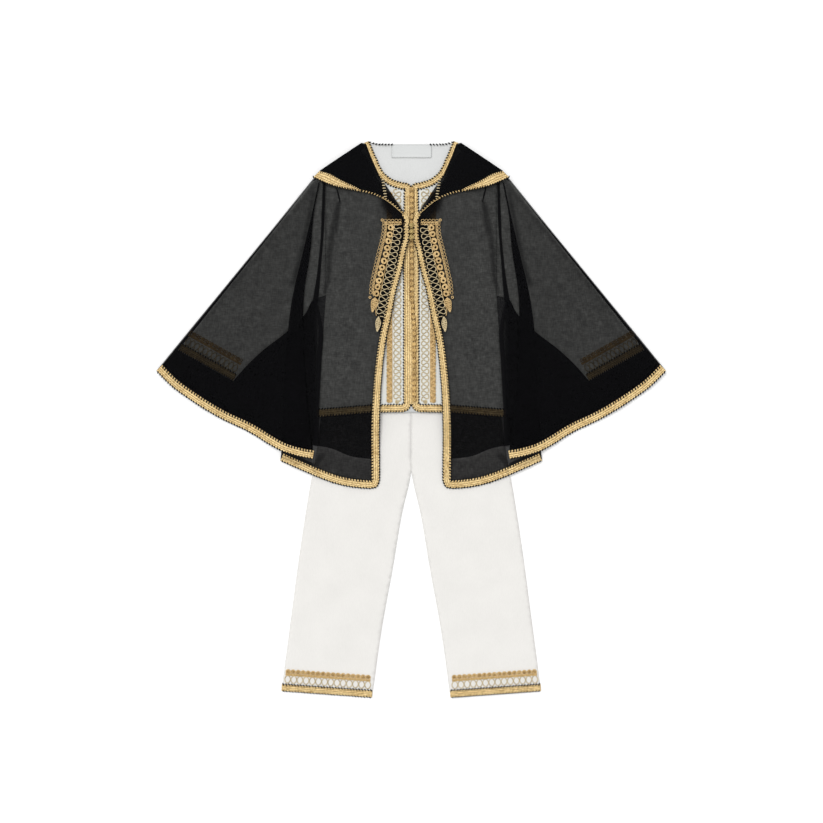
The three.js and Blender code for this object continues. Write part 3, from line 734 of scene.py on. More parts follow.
class Recipe:
    """The nodes of one material."""

    def __init__(self, name: str) -> None:
        """Starts a material with a name and an empty tree."""
        self.material = bpy.data.materials.new(name)
        self.material.use_nodes = True
        self.tree = self.material.node_tree
        self.tree.nodes.clear()

    def node(
        self,
        kind: str,
        settings: Mapping[str, Any] | None = None,
        inputs: Mapping[int | str, Any] | None = None,
    ) -> bpy.types.Node:
        """Adds a node.

        Args:
            kind: its type.
            settings: what to set on it first.
            inputs: a value or a link for each of its sockets.

        Returns:
            The node.
        """
        node = self.tree.nodes.new(kind)
        for key, value in (settings or {}).items():
            setattr(node, key, value)
        for key, value in (inputs or {}).items():
            socket = node.inputs[key]
            value = value.socket if isinstance(value, Number) else value
            if isinstance(value, bpy.types.NodeSocket):
                self.tree.links.new(value, socket)
            else:
                socket.default_value = (*value, 1.0) if socket.type == "RGBA" else value
        return node

    def number(self, kind: str, settings: Mapping[str, Any], inputs: Mapping[int | str, Any]) -> Number:
        """Adds a node and gives its first output as a number."""
        return Number(self, self.node(kind, settings, inputs).outputs[0])

    def place(self) -> bpy.types.NodeSocket:
        """Where a point lies on the table, in metres."""
        return self.node("ShaderNodeTexCoord").outputs["Object"]

    def axes(self, vector: bpy.types.NodeSocket) -> tuple[Number, Number, Number]:
        """Splits a vector into its three numbers."""
        parts = self.node("ShaderNodeSeparateXYZ", inputs={0: vector}).outputs
        return tuple(Number(self, part) for part in parts)

    def strands(self) -> tuple[Number, Number]:
        """How far along its strip a point is, in millimetres, and how far across, from 0 to 1."""
        layer = self.node("ShaderNodeUVMap", {"uv_map": "strands"}).outputs[0]
        along, across, _ = self.axes(layer)
        return along * 100.0, across

    def tone(self) -> Number:
        """The number that the mesh gives each point."""
        layer = self.node("ShaderNodeAttribute", {"attribute_name": "tone"})
        return Number(self, layer.outputs["Fac"])

    def mottle(self, vector: bpy.types.NodeSocket, pitch: float, detail: float = 2.0) -> Number:
        """Soft unevenness from 0 to 1, with spots about pitch millimetres apart."""
        inputs = {"Vector": vector, "Scale": 1 / (pitch * MM), "Detail": detail}
        return self.number("ShaderNodeTexNoise", {}, inputs)

    def stretched(self, vector: bpy.types.NodeSocket, x: float, y: float) -> bpy.types.NodeSocket:
        """A place with its two directions scaled."""
        settings = {"operation": "MULTIPLY"}
        return self.node("ShaderNodeVectorMath", settings, {0: vector, 1: (x, y, 1.0)}).outputs[0]

    def blend(self, share: Number, first: Any, second: Any) -> bpy.types.NodeSocket:
        """Mixes two colours."""
        settings = {"data_type": "RGBA", "clamp_factor": True}
        return self.node("ShaderNodeMix", settings, {0: share, 6: first, 7: second}).outputs[2]

    def finish(
        self, inputs: Mapping[str, Any], relief: Number | None = None, depth: float = 0.1
    ) -> bpy.types.Material:
        """Ends the material in one Principled shader.

        Args:
            inputs: its sockets, by name.
            relief: raises or sinks the surface, from 0 to 1.
            depth: how high the relief is, in millimetres.

        Returns:
            The material.
        """
        sockets = dict(inputs)
        if relief is not None:
            bump = {"Strength": 1.0, "Distance": depth * MM, "Height": relief}
            sockets["Normal"] = self.node("ShaderNodeBump", inputs=bump).outputs[0]
        surface = self.node("ShaderNodeBsdfPrincipled", inputs=sockets)
        self.node("ShaderNodeOutputMaterial", inputs={0: surface.outputs[0]})
        return self.material


@dataclass(frozen=True)
class WhiteCloth:
    """Matt white crepe, with a fine even weave."""

    name: str
    colour: Colour
    pitch: float = 0.9
    relief: float = 0.05

    def make(self) -> bpy.types.Material:
        """Builds the material."""
        recipe = Recipe(self.name)
        place = recipe.place()
        x, y, _ = recipe.axes(place)
        pitch = self.pitch * MM
        weft = (y / pitch).wave()
        warp = (x / pitch).wave()
        slubs = recipe.mottle(recipe.stretched(place, 1.0, 0.16), 0.8, 3.0)
        cloud = recipe.mottle(place, 38.0)
        pale = linear(self.colour)
        shade = tuple(value * 0.93 for value in pale)
        worn = (0.55 * slubs + 0.45 * cloud).above(0.2, 0.8)
        return recipe.finish(
            {
                "Base Color": recipe.blend(worn, shade, pale),
                "Roughness": 0.78 + 0.12 * slubs,
                "Specular IOR Level": 0.25,
                "Sheen Weight": 0.08,
                "Sheen Roughness": 0.5,
            },
            weft * 0.5 + warp * 0.5 + slubs,
            self.relief,
        )


@dataclass(frozen=True)
class Voile:
    """Sheer black cloth, which lets light through where it lies single and hardly any where it is folded."""

    name: str
    passes: float
    extra: float = 0.0
    colour: Colour = (5, 5, 6)

    def make(self) -> bpy.types.Material:
        """Builds the material."""
        recipe = Recipe(self.name)
        place = recipe.place()
        warp = recipe.mottle(recipe.stretched(place, 1.0, 0.22), 1.5, 1.0)
        weft = recipe.mottle(recipe.stretched(place, 0.22, 1.0), 1.5, 1.0)
        cloud = recipe.mottle(place, 9.0, 3.0)
        grain = (warp + weft) * 0.5
        # The mesh's tone adds layers of cloth, and in places painted shade given as more layers.
        layers = 1.0 + self.extra + recipe.tone()
        thin = layers + (grain - 0.5) * 0.95 + (cloud - 0.5) * 0.3
        dark = linear(self.colour)
        pale = tuple(value * 2.5 for value in dark)
        return recipe.finish(
            {
                "Base Color": recipe.blend(grain, dark, pale),
                "Roughness": 0.62 + 0.2 * grain,
                "Specular IOR Level": 0.03,
                "Alpha": (1.0 - self.passes**thin).kept(),
            },
            grain,
            0.06,
        )


@dataclass(frozen=True)
class GoldBraid:
    """Flat braid of plaited gold thread."""

    name: str
    light: Colour = (250, 222, 162)
    middle: Colour = (214, 181, 120)
    dark: Colour = (104, 72, 30)
    rows: int = 4
    strand: float = 3.4

    def make(self) -> bpy.types.Material:
        """Builds the material."""
        recipe = Recipe(self.name)
        along, across = recipe.strands()
        part = across * float(self.rows)
        row = part.floor()
        inner = part - row
        lean = 1.0 - 2.0 * (row % 2.0)
        turn = (along / self.strand + lean * inner * 0.8) % 1.0
        groove = ((turn - 0.5).size() * 2.0).above(0.3, 1.0)
        between = ((inner - 0.5).size() * 2.0).above(0.5, 1.0)
        place = recipe.place()
        spots = recipe.mottle(place, 2.0, 2.0)
        cloud = recipe.mottle(place, 14.0)
        bright = (spots * 0.8 + cloud * 0.35).above(0.4, 0.7)
        gold = recipe.blend(bright, linear(self.middle), linear(self.light))
        speck = (0.6 - spots.above(0.35, 0.65)) * 0.2
        shade = (groove * 0.14 + between * 0.7 + (row % 2.0) * 0.08 + speck).kept()
        return recipe.finish(
            {
                "Base Color": recipe.blend(shade, gold, linear(self.dark)),
                "Metallic": 0.25,
                "Roughness": 0.42 + 0.25 * spots,
                "Specular IOR Level": 0.4,
            },
            1.0 - shade,
            0.25,
        )


@dataclass(frozen=True)
class GoldCord:
    """Round gold cord of twisted thread."""

    name: str
    light: Colour
    dark: Colour
    twist: float

    def make(self) -> bpy.types.Material:
        """Builds the material."""
        recipe = Recipe(self.name)
        along, around = recipe.strands()
        turn = (along / self.twist + around * 2.0) % 1.0
        groove = ((turn - 0.5).size() * 2.0).above(0.4, 1.0)
        spots = recipe.mottle(recipe.place(), 1.9, 2.0)
        shade = (groove * 0.6 + (spots - 0.45) * 1.5 + recipe.tone()).kept()
        return recipe.finish(
            {
                "Base Color": recipe.blend(shade, linear(self.light), linear(self.dark)),
                "Metallic": 0.25,
                "Roughness": 0.45 + 0.2 * spots,
                "Specular IOR Level": 0.4,
            },
            1.0 - groove,
            0.15,
        )


@dataclass(frozen=True)
class BlackThread:
    """Thick black sewing thread."""

    name: str = "black_thread"
    colour: Colour = (9, 8, 8)

    def make(self) -> bpy.types.Material:
        """Builds the material."""
        recipe = Recipe(self.name)
        along, around = recipe.strands()
        twist = (along / 0.9 + around * 2.0).wave()
        dark = linear(self.colour)
        return recipe.finish(
            {
                "Base Color": recipe.blend(twist, dark, tuple(value * 3 for value in dark)),
                "Roughness": 0.6 + 0.2 * twist,
                "Specular IOR Level": 0.2,
            },
            twist,
            0.1,
        )


@dataclass(frozen=True)
class LabelSatin:
    """Plain white satin of the neck label, left blank."""

    name: str = "label_satin"
    colour: Colour = (214, 216, 215)

    def make(self) -> bpy.types.Material:
        """Builds the material."""
        recipe = Recipe(self.name)
        place = recipe.place()
        floats = recipe.mottle(recipe.stretched(place, 0.12, 1.0), 0.7, 2.0)
        pale = linear(self.colour)
        return recipe.finish(
            {
                "Base Color": recipe.blend(floats, tuple(value * 0.9 for value in pale), pale),
                "Roughness": 0.34 + 0.2 * floats,
                "Specular IOR Level": 0.5,
            },
            floats,
            0.05,
        )


@dataclass(frozen=True)
class Finish:
    """A material, and the record's finish that it shows."""

    slot: str
    material: bpy.types.Material


class Finishes:
    """Every finish of the suit."""

    def __init__(self) -> None:
        """Makes the materials."""
        self.trouser = Finish("trouser_cloth", WhiteCloth("trouser_crepe", (234, 232, 228)).make())
        self.tunic = Finish("tunic_cloth", WhiteCloth("tunic_crepe", (230, 231, 226), 0.8).make())
        # The tunic's back is the same crepe painted darker, as shade inside the tunic.
        self.tunic_shaded = Finish("tunic_cloth", WhiteCloth("tunic_shaded", (218, 219, 218), 0.8).make())
        self.voile = Finish("voile", Voile("black_voile", 0.236).make())
        self.hood = Finish("hood_cloth", Voile("hood_voile", 0.236, 1.0).make())
        self.braid = Finish("gold_braid", GoldBraid("gold_braid").make())
        dull = ((206, 180, 128), (170, 144, 94), (84, 60, 26))
        self.dull_braid = Finish("gold_braid", GoldBraid("gold_braid_of_cuffs", *dull).make())
        self.cord = self.twisted("gold_cord", "pale_gold_cord", (232, 214, 172), (150, 128, 84), 1.6)
        self.gimp = self.twisted("gold_cord", "gold_gimp", (232, 200, 142), (142, 108, 58), 2.2)
        self.knot = self.twisted("gold_knot", "gold_knot_cord", (236, 202, 136), (112, 78, 36), 2.4)
        self.closing = self.twisted("gold_knot", "closing_knot_cord", (206, 182, 120), (92, 70, 28), 2.4)
        self.thread = BlackThread().make()
        self.label = Finish("label", LabelSatin().make())

    @staticmethod
    def twisted(slot: str, name: str, light: Colour, dark: Colour, twist: float) -> Finish:
        """A finish of twisted gold cord."""
        return Finish(slot, GoldCord(name, light, dark, twist).make())


# Lines of the suit


@dataclass(frozen=True)
class Pattern:
    """Lines that more than one part of the suit is cut to."""

    outseam: tuple = ((-124, 22), (-133, -45), (-144, -107), (-156, -185), (-168, -275), (-182, -381))
    inseam: tuple = ((-55, -390), (-42, -297), (-26, -208), (-10, -118), (-4, -94), (-0.2, -73))
    rise: tuple = ((0.2, -68), (0.2, 22))
    waistband: float = 26.0
    tip: tuple = (-357, 68)
    shoulder: tuple = (-137.5, 338)
    wing_hem: tuple = (
        (-357, 68), (-336, 47), (-305, 24.5), (-268, 2), (-223, -20), (-202, -33), (-184, -43),
        (-156, -52), (-138, -55.3),
    )
    pleat_edge: tuple = (
        (-128, 331), (-136, 290), (-141, 237), (-150, 175), (-151, 111), (-146, 27), (-138, -50),
    )
    pleat_back: tuple = ((-130, 331), (-139, 288), (-151, 237), (-167, 167), (-175, 100), (-182, -46))
    front_hem: tuple = ((-183.5, -58), (-156, -70), (-128, -82), (-100, -91.5), (-72, -96), (-57, -97))
    front_corner: tuple = ((-57, -97), (-48, -94.5), (-44, -85))
    front_edge: tuple = (
        (-44, -85), (-43.7, 6), (-40, 69), (-35, 111), (-27, 149), (-21, 180), (-13, 209),
        (-6.5, 240), (-3.2, 252), (-3, 275),
    )
    neck_corner: tuple = ((-3, 275), (-8, 288), (-13, 290))
    cape_neck: tuple = ((-13, 290), (-37, 324), (-48, 338), (-61, 366), (-70, 375), (-73, 378))
    cape_top: tuple = ((-73, 378), (-126, 342))
    back_fold: tuple = ((-134.6, 338.8), (-356, 68.5))
    wing_top: tuple = (-134, 340.5)
    back_hem: tuple = ((-138, -36), (-114, -40), (-86, -51), (-49.5, -56))
    back_top: tuple = ((-0.2, 362), (-40, 366), (-73, 378))
    vent: tuple = ((-49.5, 16), (-0.2, 16))
    back_inset: float = 1.5
    hood_top: tuple = ((-69.5, 387.2), (-127.7, 348))
    hood_edge: tuple = ((-137.5, 338), (-114, 327.5), (-86, 321), (-65, 318), (-37, 307.5), (-10.5, 286.5))
    hood_neck: tuple = ((-10.5, 290), (-35, 327), (-43, 337), (-56.5, 367), (-63, 385.6))
    hood_sack: tuple = (
        (-127.7, 348), (-116, 318), (-60, 250), (-0.2, 205), (-0.2, 372), (-45, 376), (-69.5, 387.2),
    )
    tunic_neck: tuple = ((-59, 390), (-49, 366), (-37, 344), (-28, 337), (-10, 331))
    opening_top: tuple = (-0.2, 327)
    hem_notch: tuple = ((-0.2, 21), (-4, 14), (-11, 10.5))
    tunic_hem: tuple = ((-11, 10.5), (-55, 9.8), (-132, 3.5))
    tunic_side: tuple = ((-132, 3.5), (-128, 55), (-125, 97), (-119.5, 174))
    tunic_shoulder: tuple = ((-119.5, 174), (-119.5, 343), (-68, 378))
    back_neck: tuple = ((-60.5, 388), (-40, 386), (-0.2, 386))
    back_middle: tuple = ((0, 386), (0, 9.8))
    sleeve_under: tuple = (
        (-119.8, 174), (-138, 167), (-147, 150.5), (-172, 125), (-209, 96), (-231, 75), (-249.5, 54),
    )
    cuff: tuple = ((-249.5, 54), (-326.5, 97))
    sleeve_over: tuple = ((-326.5, 97), (-138, 333.5), (-126, 339.5), (-119.8, 342.8))

    def leg(self) -> Line:
        """Outline of one leg, front or back."""
        hem = straight([self.outseam[-1], self.inseam[0]])
        rise = straight([self.inseam[-1], *self.rise])
        top = straight([self.rise[-1], self.outseam[0]])
        return ring(smooth(self.outseam, 4), hem, smooth(self.inseam, 4), rise, top)

    def half_front(self) -> Line:
        """Outline of one tunic front."""
        opening = straight([self.opening_top, self.hem_notch[0]])
        neck = smooth([*self.tunic_neck, self.opening_top], 3)
        side = joined(smooth(self.tunic_side, 4), straight(self.tunic_shoulder))
        top = straight([self.tunic_shoulder[-1], self.tunic_neck[0]])
        return ring(neck, opening, smooth(self.hem_notch, 2), straight(self.tunic_hem), joined(side, top))

    def half_back(self) -> Line:
        """Outline of the left half of the tunic's back."""
        low = straight([self.back_middle[-1], *self.tunic_hem[1:]])
        side = joined(smooth(self.tunic_side, 4), straight(self.tunic_shoulder))
        neck = straight(self.tunic_shoulder[-1:] + self.back_neck)
        return ring(low, side, neck, straight(self.back_middle))

    def sleeve(self) -> Line:
        """Outline of one sleeve laid flat."""
        armhole = straight([self.sleeve_over[-1], self.sleeve_under[0]])
        return ring(smooth(self.sleeve_under, 4), straight(self.cuff), straight(self.sleeve_over), armhole)

    def cape_back(self) -> Line:
        """Outline of one half of the cape's back."""
        centre = straight([self.vent[-1], self.back_top[0]])
        top = joined(straight(self.back_top), straight(self.cape_top))
        fold = straight([self.cape_top[-1], *self.back_fold])
        wing = shifted(smooth(self.wing_hem, 4), -self.back_inset)[1:]
        vent = straight([self.back_hem[-1], *self.vent])
        return ring(centre, top, fold, wing, smooth(self.back_hem, 4), vent)

    def hem_and_front(self, step: float = 3.0) -> Line:
        """The cape front's lower and centre edges, from the side to the neck."""
        hem = joined(smooth(self.front_hem, step), smooth(self.front_corner, 2))
        return joined(hem, smooth(self.front_edge, step))

    def cape_front(self) -> Line:
        """Outline of the cape's front panel, up to the fold behind the wing."""
        neck = joined(smooth(self.neck_corner, 3), straight(self.cape_neck))
        return ring(smooth(self.pleat_back, 4), self.hem_and_front(), neck, straight(self.cape_top))

    def pleat_turn(self) -> Line:
        """Outline of the layer that runs back between the front panel and the wing."""
        return ring(smooth(self.pleat_back, 4), smooth(self.pleat_edge, 4)[::-1])

    def wing(self) -> Line:
        """Outline of the wing."""
        fold = straight([self.wing_top, self.tip])
        return ring(fold, smooth(self.wing_hem, 4), smooth(self.pleat_edge, 4)[::-1])

    def flap(self) -> Line:
        """Outline of the hood's turned-down flap."""
        return ring(straight(self.hood_top), smooth(self.hood_edge, 3), straight(self.hood_neck))


PATTERN = Pattern()


class Layers:
    """How high each layer of cloth lies."""

    def __init__(self) -> None:
        """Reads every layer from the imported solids."""
        self.trouser_back = self.read("trouser_back", PATTERN.leg())
        self.trouser_front = self.read("trouser_front", PATTERN.leg())
        self.cape_back = self.read("cape_back", PATTERN.cape_back())
        self.tunic_back = Lie.read(["tunic_back"], Face.TOP, PATTERN.half_back())
        self.sleeve_under = self.read("sleeve", PATTERN.sleeve(), Face.UNDER)
        self.tunic_front = self.read("tunic_front", PATTERN.half_front())
        self.sleeve_over = self.read("sleeve", PATTERN.sleeve())
        self.cape_front = self.read("cape_front", PATTERN.cape_front(), Face.UNDER)
        self.wing = self.read("cape_front", PATTERN.wing())
        self.flap = self.read("hood", PATTERN.flap())

    @staticmethod
    def read(name: str, outline: Line, face: Face = Face.TOP) -> Lie:
        """Reads a layer from a mirrored pair of solids."""
        return Lie.read([f"{name}_{side.value}" for side in Side], face, outline)


@dataclass(frozen=True)
class Cut:
    """The flat cut of a piece of cloth, in millimetres and square millimetres."""

    width: float
    length: float
    area: float

    @classmethod
    def of(cls, outline: Line, layers: int = 1) -> "Cut":
        """The cut of an outline, which may be of cloth folded lengthwise into layers."""
        width, length = (outline.max(0) - outline.min(0)).tolist()
        return cls(width * layers, length, area_of(outline) * layers)

    @classmethod
    def oblong(cls, width: float, length: float) -> "Cut":
        """The cut of a rectangle."""
        return cls(width, length, width * length)


@dataclass
class Maker:
    """What every part of the suit is made with."""

    layers: Layers
    finishes: Finishes

    def cloth(
        self,
        work: Work,
        name: str,
        node: str,
        finish: Finish,
        flat: Cut,
        rests_on: Sequence[str],
        weld: float = 0.0,
    ) -> bpy.types.Object:
        """Args:
            work: its points and faces.
            name: the piece's name.
            node: the solid that it stands for.
            finish: its finish.
            flat: its cut; not used.
            rests_on: what it lies on; not used.
            weld: joins points that are closer than this.

        Returns:
            The piece.
        """
        piece = work.build(name, finish.material, weld)
        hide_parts(node)
        return piece

    def trim(self, work: Work, name: str, finish: Finish, *nodes: str) -> bpy.types.Object:
        """Builds a trim and hides the solids that it stands for."""
        piece = work.build(name, finish.material)
        if nodes:
            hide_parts(*nodes)
        return piece

    def stitches(self, work: Work, name: str) -> bpy.types.Object:
        """Builds black stitches, which stand for no solid."""
        return work.build(name, self.finishes.thread)


# Strands that lie on cloth


@dataclass(frozen=True)
class Stitch:
    """How a row of slanted whip stitches is sewn, in millimetres.

    Attributes:
        pitch: how far apart the stitches are.
        length: how long one is.
        lean: how far it leans from square to the edge, in degrees.
        radius: half the thread's width.
        seed: seeds the slight unevenness.
        lift: how high its middle stands.
    """

    pitch: float
    length: float
    lean: float
    radius: float
    seed: int
    lift: float = 1.4


def whip(work: Work, line: Line, height: Height, stitch: Stitch) -> None:
    """Sews slanted whip stitches over an edge.

    Args:
        work: takes the stitches.
        line: the edge.
        height: gives the height of the cloth's top.
        stitch: how the stitches are sewn.
    """
    rng = np.random.default_rng(stitch.seed)
    places = even(line, stitch.pitch)
    square = right_hand(places)
    run = np.stack([-square[:, 1], square[:, 0]], 1)
    slant = math.radians(stitch.lean)
    way = square * math.cos(slant) + run * math.sin(slant)
    share = np.linspace(-0.5, 0.5, 5)
    arch = np.array([0.45, 1.0, 1.0, 1.0, 0.45])
    for place, toward in zip(places, way):
        size = stitch.length * rng.uniform(0.85, 1.12)
        middle = place + rng.uniform(-0.2, 0.2, 2)
        flat = middle + share[:, None] * toward * size
        thread = np.column_stack([flat, height(flat) + arch * stitch.lift])
        work.tube(thread, stitch.radius * np.array([0.7, 1.0, 1.0, 1.0, 0.7]), 5, 0.8)


def meander(axis: Line, reach: float, pitch: float, bend: float, step: float = 0.55) -> Line:
    """Draws a cord that swings from side to side like a slow river.

    Args:
        axis: the line that it swings about.
        reach: how wide its swings are, from side to side; a negative one swings the other way first.
        pitch: length of one full swing.
        bend: how far it turns from the axis's run at most, in degrees; over 90 it makes round bulbs.
        step: how far apart its points lie.

    Returns:
        The cord's line on the table.
    """
    fine = even(axis, 0.5)
    along = run_of(fine)
    turns = max(round(along[-1] / pitch), 1)
    heading = math.radians(bend) * np.cos(np.linspace(0, 2 * math.pi * turns, turns * 60 + 1))
    forward, across = np.cumsum(np.cos(heading)), np.cumsum(np.sin(heading))
    across -= (across.max() + across.min()) / 2
    place = np.clip(along[-1] * (forward - forward[0]) / (forward[-1] - forward[0]), 0, along[-1])
    square = right_hand(fine)
    flat, out = sampled(fine, along, place), sampled(square, along, place)
    return even(flat + out * (reach / 2 * across / across.max())[:, None], step)


def picots(axis: Line, radius: float, pitch: float, step: float = 0.5) -> Line:
    """Draws a cord that makes a row of small open loops to the right of a line."""
    fine = even(axis, 0.5)
    along = run_of(fine)
    turns = max(round(along[-1] / pitch), 1)
    theta = np.linspace(0, 2 * math.pi * turns, turns * 26)
    place = np.clip(along[-1] * theta / theta[-1] + abs(radius) * 1.6 * np.sin(theta), 0, along[-1])
    square = right_hand(fine)
    flat, out = sampled(fine, along, place), sampled(square, along, place)
    return even(flat + out * (radius * (1 - np.cos(theta)))[:, None], step)


def laid_cord(
    work: Work, flat: Line, height: Height, radius: float, weave: float = 0.0, tone: float = 0.0
) -> None:
    """Lays a round cord on cloth.

    Args:
        work: takes the cord.
        flat: its line on the table.
        height: gives the height of the cloth's top.
        radius: half its width.
        weave: how much it rises and sinks where it crosses itself.
        tone: how dark it is.
    """
    wave = weave * np.sin(run_of(flat) * 0.9)
    work.tube(np.column_stack([flat, height(flat) + radius + weave + wave]), radius, 6, 0.9, tone=tone)


def laid_ring(work: Work, flat: Line, height: Height, radius: float, tone: float = 0.0) -> None:
    """Lays a closed ring of cord at the given height of its middle."""
    work.tube(np.column_stack([flat, height(flat)]), radius, 6, 1.0, closed=True, tone=tone)


def coil(centre: Sequence[float], outer: float, inner: float, turns: float, begin: float = 0.0) -> Line:
    """Draws a rolled coil, from its rim in to its middle."""
    theta = np.linspace(0, 2 * math.pi * turns, int(22 * turns))
    reach = np.linspace(outer, inner, len(theta))
    turn = theta + begin
    return np.asarray(centre)[None] + np.stack([np.cos(turn), np.sin(turn)], 1) * reach[:, None]


def rosette(
    work: Work,
    centre: Sequence[float],
    height: Height,
    radius: float,
    rng: np.random.Generator,
    shade: float = 0.0,
    filled: bool = True,
) -> None:
    """Lays a rolled coil of cord.

    Args:
        work: takes the coil.
        centre: its middle on the table.
        height: gives the height of the cloth's top.
        radius: half its width.
        rng: gives its slight unevenness.
        shade: how dark it is.
        filled: whether its middle is filled and stands up a little.
    """
    thread = radius * 0.17
    tone = shade + rng.uniform(-0.15, 0.2)
    begin = rng.uniform(0, 6.28)
    rim = coil(centre, radius - thread, radius * 0.38, 2.4, begin)
    work.tube(np.column_stack([rim, height(rim) + thread]), thread, 6, 1.0, tone=tone)
    if filled:
        core = coil(centre, radius * 0.4, thread * 0.4, 1.2, begin)
        work.tube(np.column_stack([core, height(core) + thread + 0.4]), thread * 1.2, 6, 1.0, tone=tone + 0.1)


def knot_ball(
    work: Work, centre: np.ndarray, radius: float, strand: float, turn: float, tone: float = 0.0
) -> None:
    """Ties a round knot button of one cord.

    Args:
        work: takes the knot.
        centre: its middle, with its height.
        radius: half the knot's width.
        strand: half the cord's width.
        turn: how far it is turned, in radians.
        tone: how dark it is.
    """
    theta = np.linspace(0, 4 * math.pi, 46, endpoint=False)
    reach = (radius - strand) * (0.62 + 0.38 * np.cos(1.5 * theta))
    rise = 0.55 * radius * np.sin(1.5 * theta) * 0.55 + 0.35 * (radius - reach)
    line = np.stack([reach * np.cos(theta + turn), reach * np.sin(theta + turn), rise], 1)
    work.tube(centre + line, strand, 6, 1.0, closed=True, tone=tone)
    # The core is painted darker, as shade in the hollow between the loops.
    core = np.array([[-0.01, 0.0, -0.18], [0.0, 0.0, 0.0], [0.01, 0.0, 0.18]]) * [1.0, 1.0, radius]
    work.tube(centre + core, radius * 0.55, 6, 1.0, tone=tone + 0.5)


# Parts of the suit


@dataclass
class Trousers:
    """Off-white trousers: backs on the table, fronts over them, the waistband, and the trimmed hems."""

    maker: Maker
    pattern: Pattern = PATTERN
    step: float = 5.0
    seam: float = 3.0
    braid: float = 10.0
    loops: float = 13.0
    scallop: float = 8.0
    scallops: int = 17
    upper_stitch: Stitch = Stitch(4.1, 3.2, 42.0, 1.0, 21)
    edge_stitch: Stitch = Stitch(4.2, 2.7, 48.0, 0.9, 22)
    creases: tuple[Crease, ...] = (
        Crease(((-20, -62), (-46, -98), (-62, -150)), 9.0, 0.9),
        Crease(((-8, -84), (-30, -128), (-38, -182)), 7.0, -0.7),
        Crease(((-118, -60), (-100, -104), (-96, -170)), 11.0, 0.6),
        Crease(((-128, -214), (-104, -226), (-74, -220)), 9.0, 0.7),
        Crease(((-60, -236), (-86, -248), (-118, -244)), 10.0, -0.6),
        Crease(((-112, -266), (-118, -318), (-124, -362)), 14.0, 0.6),
        Crease(((-72, -288), (-78, -330), (-80, -366)), 12.0, -0.5),
    )

    def build(self) -> None:
        """Makes the trousers."""
        for side in Side:
            self.leg(side)
            self.hem(side)
        self.waist()

    def front_height(self, side: Side) -> Height:
        """Height of the front's middle, which meets the back at the seams."""
        layers = self.maker.layers
        seams = [smooth(self.pattern.outseam, 6), smooth(self.pattern.inseam, 6)]

        def height(points: np.ndarray) -> np.ndarray:
            gap = nearest(points, seams)
            own = layers.trouser_front.at(points, side)
            low = layers.trouser_back.at(points, side) + 0.55
            folds = sum(crease.at(points) for crease in self.creases)
            lift = np.maximum(folds, -0.5) * ease(gap / 25)
            return low + (own - low) * np.sqrt(ease(gap / self.seam)) + lift

        return height

    def leg(self, side: Side) -> None:
        """Makes the back and the front of one leg."""
        layers, name = self.maker.layers, side.value
        outline = self.pattern.leg()
        flat, corners = cut(outline, self.step, side.seed(11))
        back, front = Work(side), Work(side)
        back.shell(flat, corners, lambda points: np.maximum(layers.trouser_back.at(points, side), 0.3))
        front.shell(flat, corners, self.front_height(side))
        for work, face, below in ((back, "back", "floor"), (front, "front", f"leg_back_{name}")):
            names = (f"leg_{face}_{name}", f"trouser_{face}_{name}")
            cloth = self.maker.finishes.trouser
            self.maker.cloth(work, *names, cloth, Cut.of(outline), [below])

    def waist(self) -> None:
        """Makes the waistband, a doubled band with its elastic's gathers."""
        low = self.pattern.rise[-1][1] + 0.3
        high = self.pattern.rise[-1][1] + self.pattern.waistband
        wide = -self.pattern.outseam[0][0]
        flat, faces = cut(oblong(-wide, low, wide, high, 3.0), 3.0, 13)
        work = Work()

        def height(points: np.ndarray) -> np.ndarray:
            wave = np.sin(points[:, 0] * 1.15 + 0.8 * np.sin(points[:, 1] * 0.3))
            return 1.1 + 0.12 * wave

        work.shell(flat, faces, height, 1.7)
        cloth, size = self.maker.finishes.trouser, Cut.oblong(2 * wide, high - low)
        self.maker.cloth(work, "waist_gathered", "waistband", cloth, size, ["floor"])

    def hem(self, side: Side) -> None:
        """Trims one hem: braid at the edge, crossing loops above it, and scalloped gimp on top."""
        maker, name = self.maker, side.value
        top = lifted(self.front_height(side), 0.25)
        braid = Work(side)
        run = straight([self.pattern.inseam[0], self.pattern.outseam[-1]], 1.0)
        braid.band(shifted(run, 0.3), shifted(run, self.braid), top)
        thread = Work(side)
        whip(thread, shifted(run, self.braid)[2:-2], top, self.upper_stitch)
        whip(thread, shifted(run, 0.5)[3:-3], top, self.edge_stitch)
        loops = Work(side)
        axis = shifted(run, self.braid + self.loops / 2 + 0.9)[3:-3]
        for swing, tone in ((self.loops - 2.4, 0.1), (2.4 - self.loops, 0.25)):
            laid_cord(loops, meander(axis, swing, 16.4, 58.0), top, 0.55, 0.2, tone)
        band = Work(side)
        start = self.braid + self.loops
        inner = run[4:-4]
        for lift in (0.3, 1.8):
            laid_cord(band, shifted(inner, start + lift), top, 0.75, 0.1, 0.05)
        rng = np.random.default_rng(5)
        centres = even(shifted(inner, start + self.scallop * 0.55 + 0.6), 1.0)
        spots = even(centres, np.linalg.norm(centres[-1] - centres[0]) / self.scallops)
        for spot in (spots[:-1] + spots[1:]) / 2:
            laid_ring(band, round_line(spot, 3.1, 20), lifted(top, 0.9), 0.6, -0.1)
            rosette(band, spot, lifted(top, 0.1), 2.6, rng, 0.25)
        finishes = maker.finishes
        maker.trim(braid, f"hem_plait_{name}", finishes.braid, f"hem_braid_{name}")
        maker.trim(loops, f"hem_loop_cord_{name}", finishes.cord, f"hem_loops_{name}")
        maker.trim(band, f"hem_scallops_{name}", finishes.gimp, f"hem_band_{name}")
        maker.stitches(thread, f"hem_stitches_{name}")


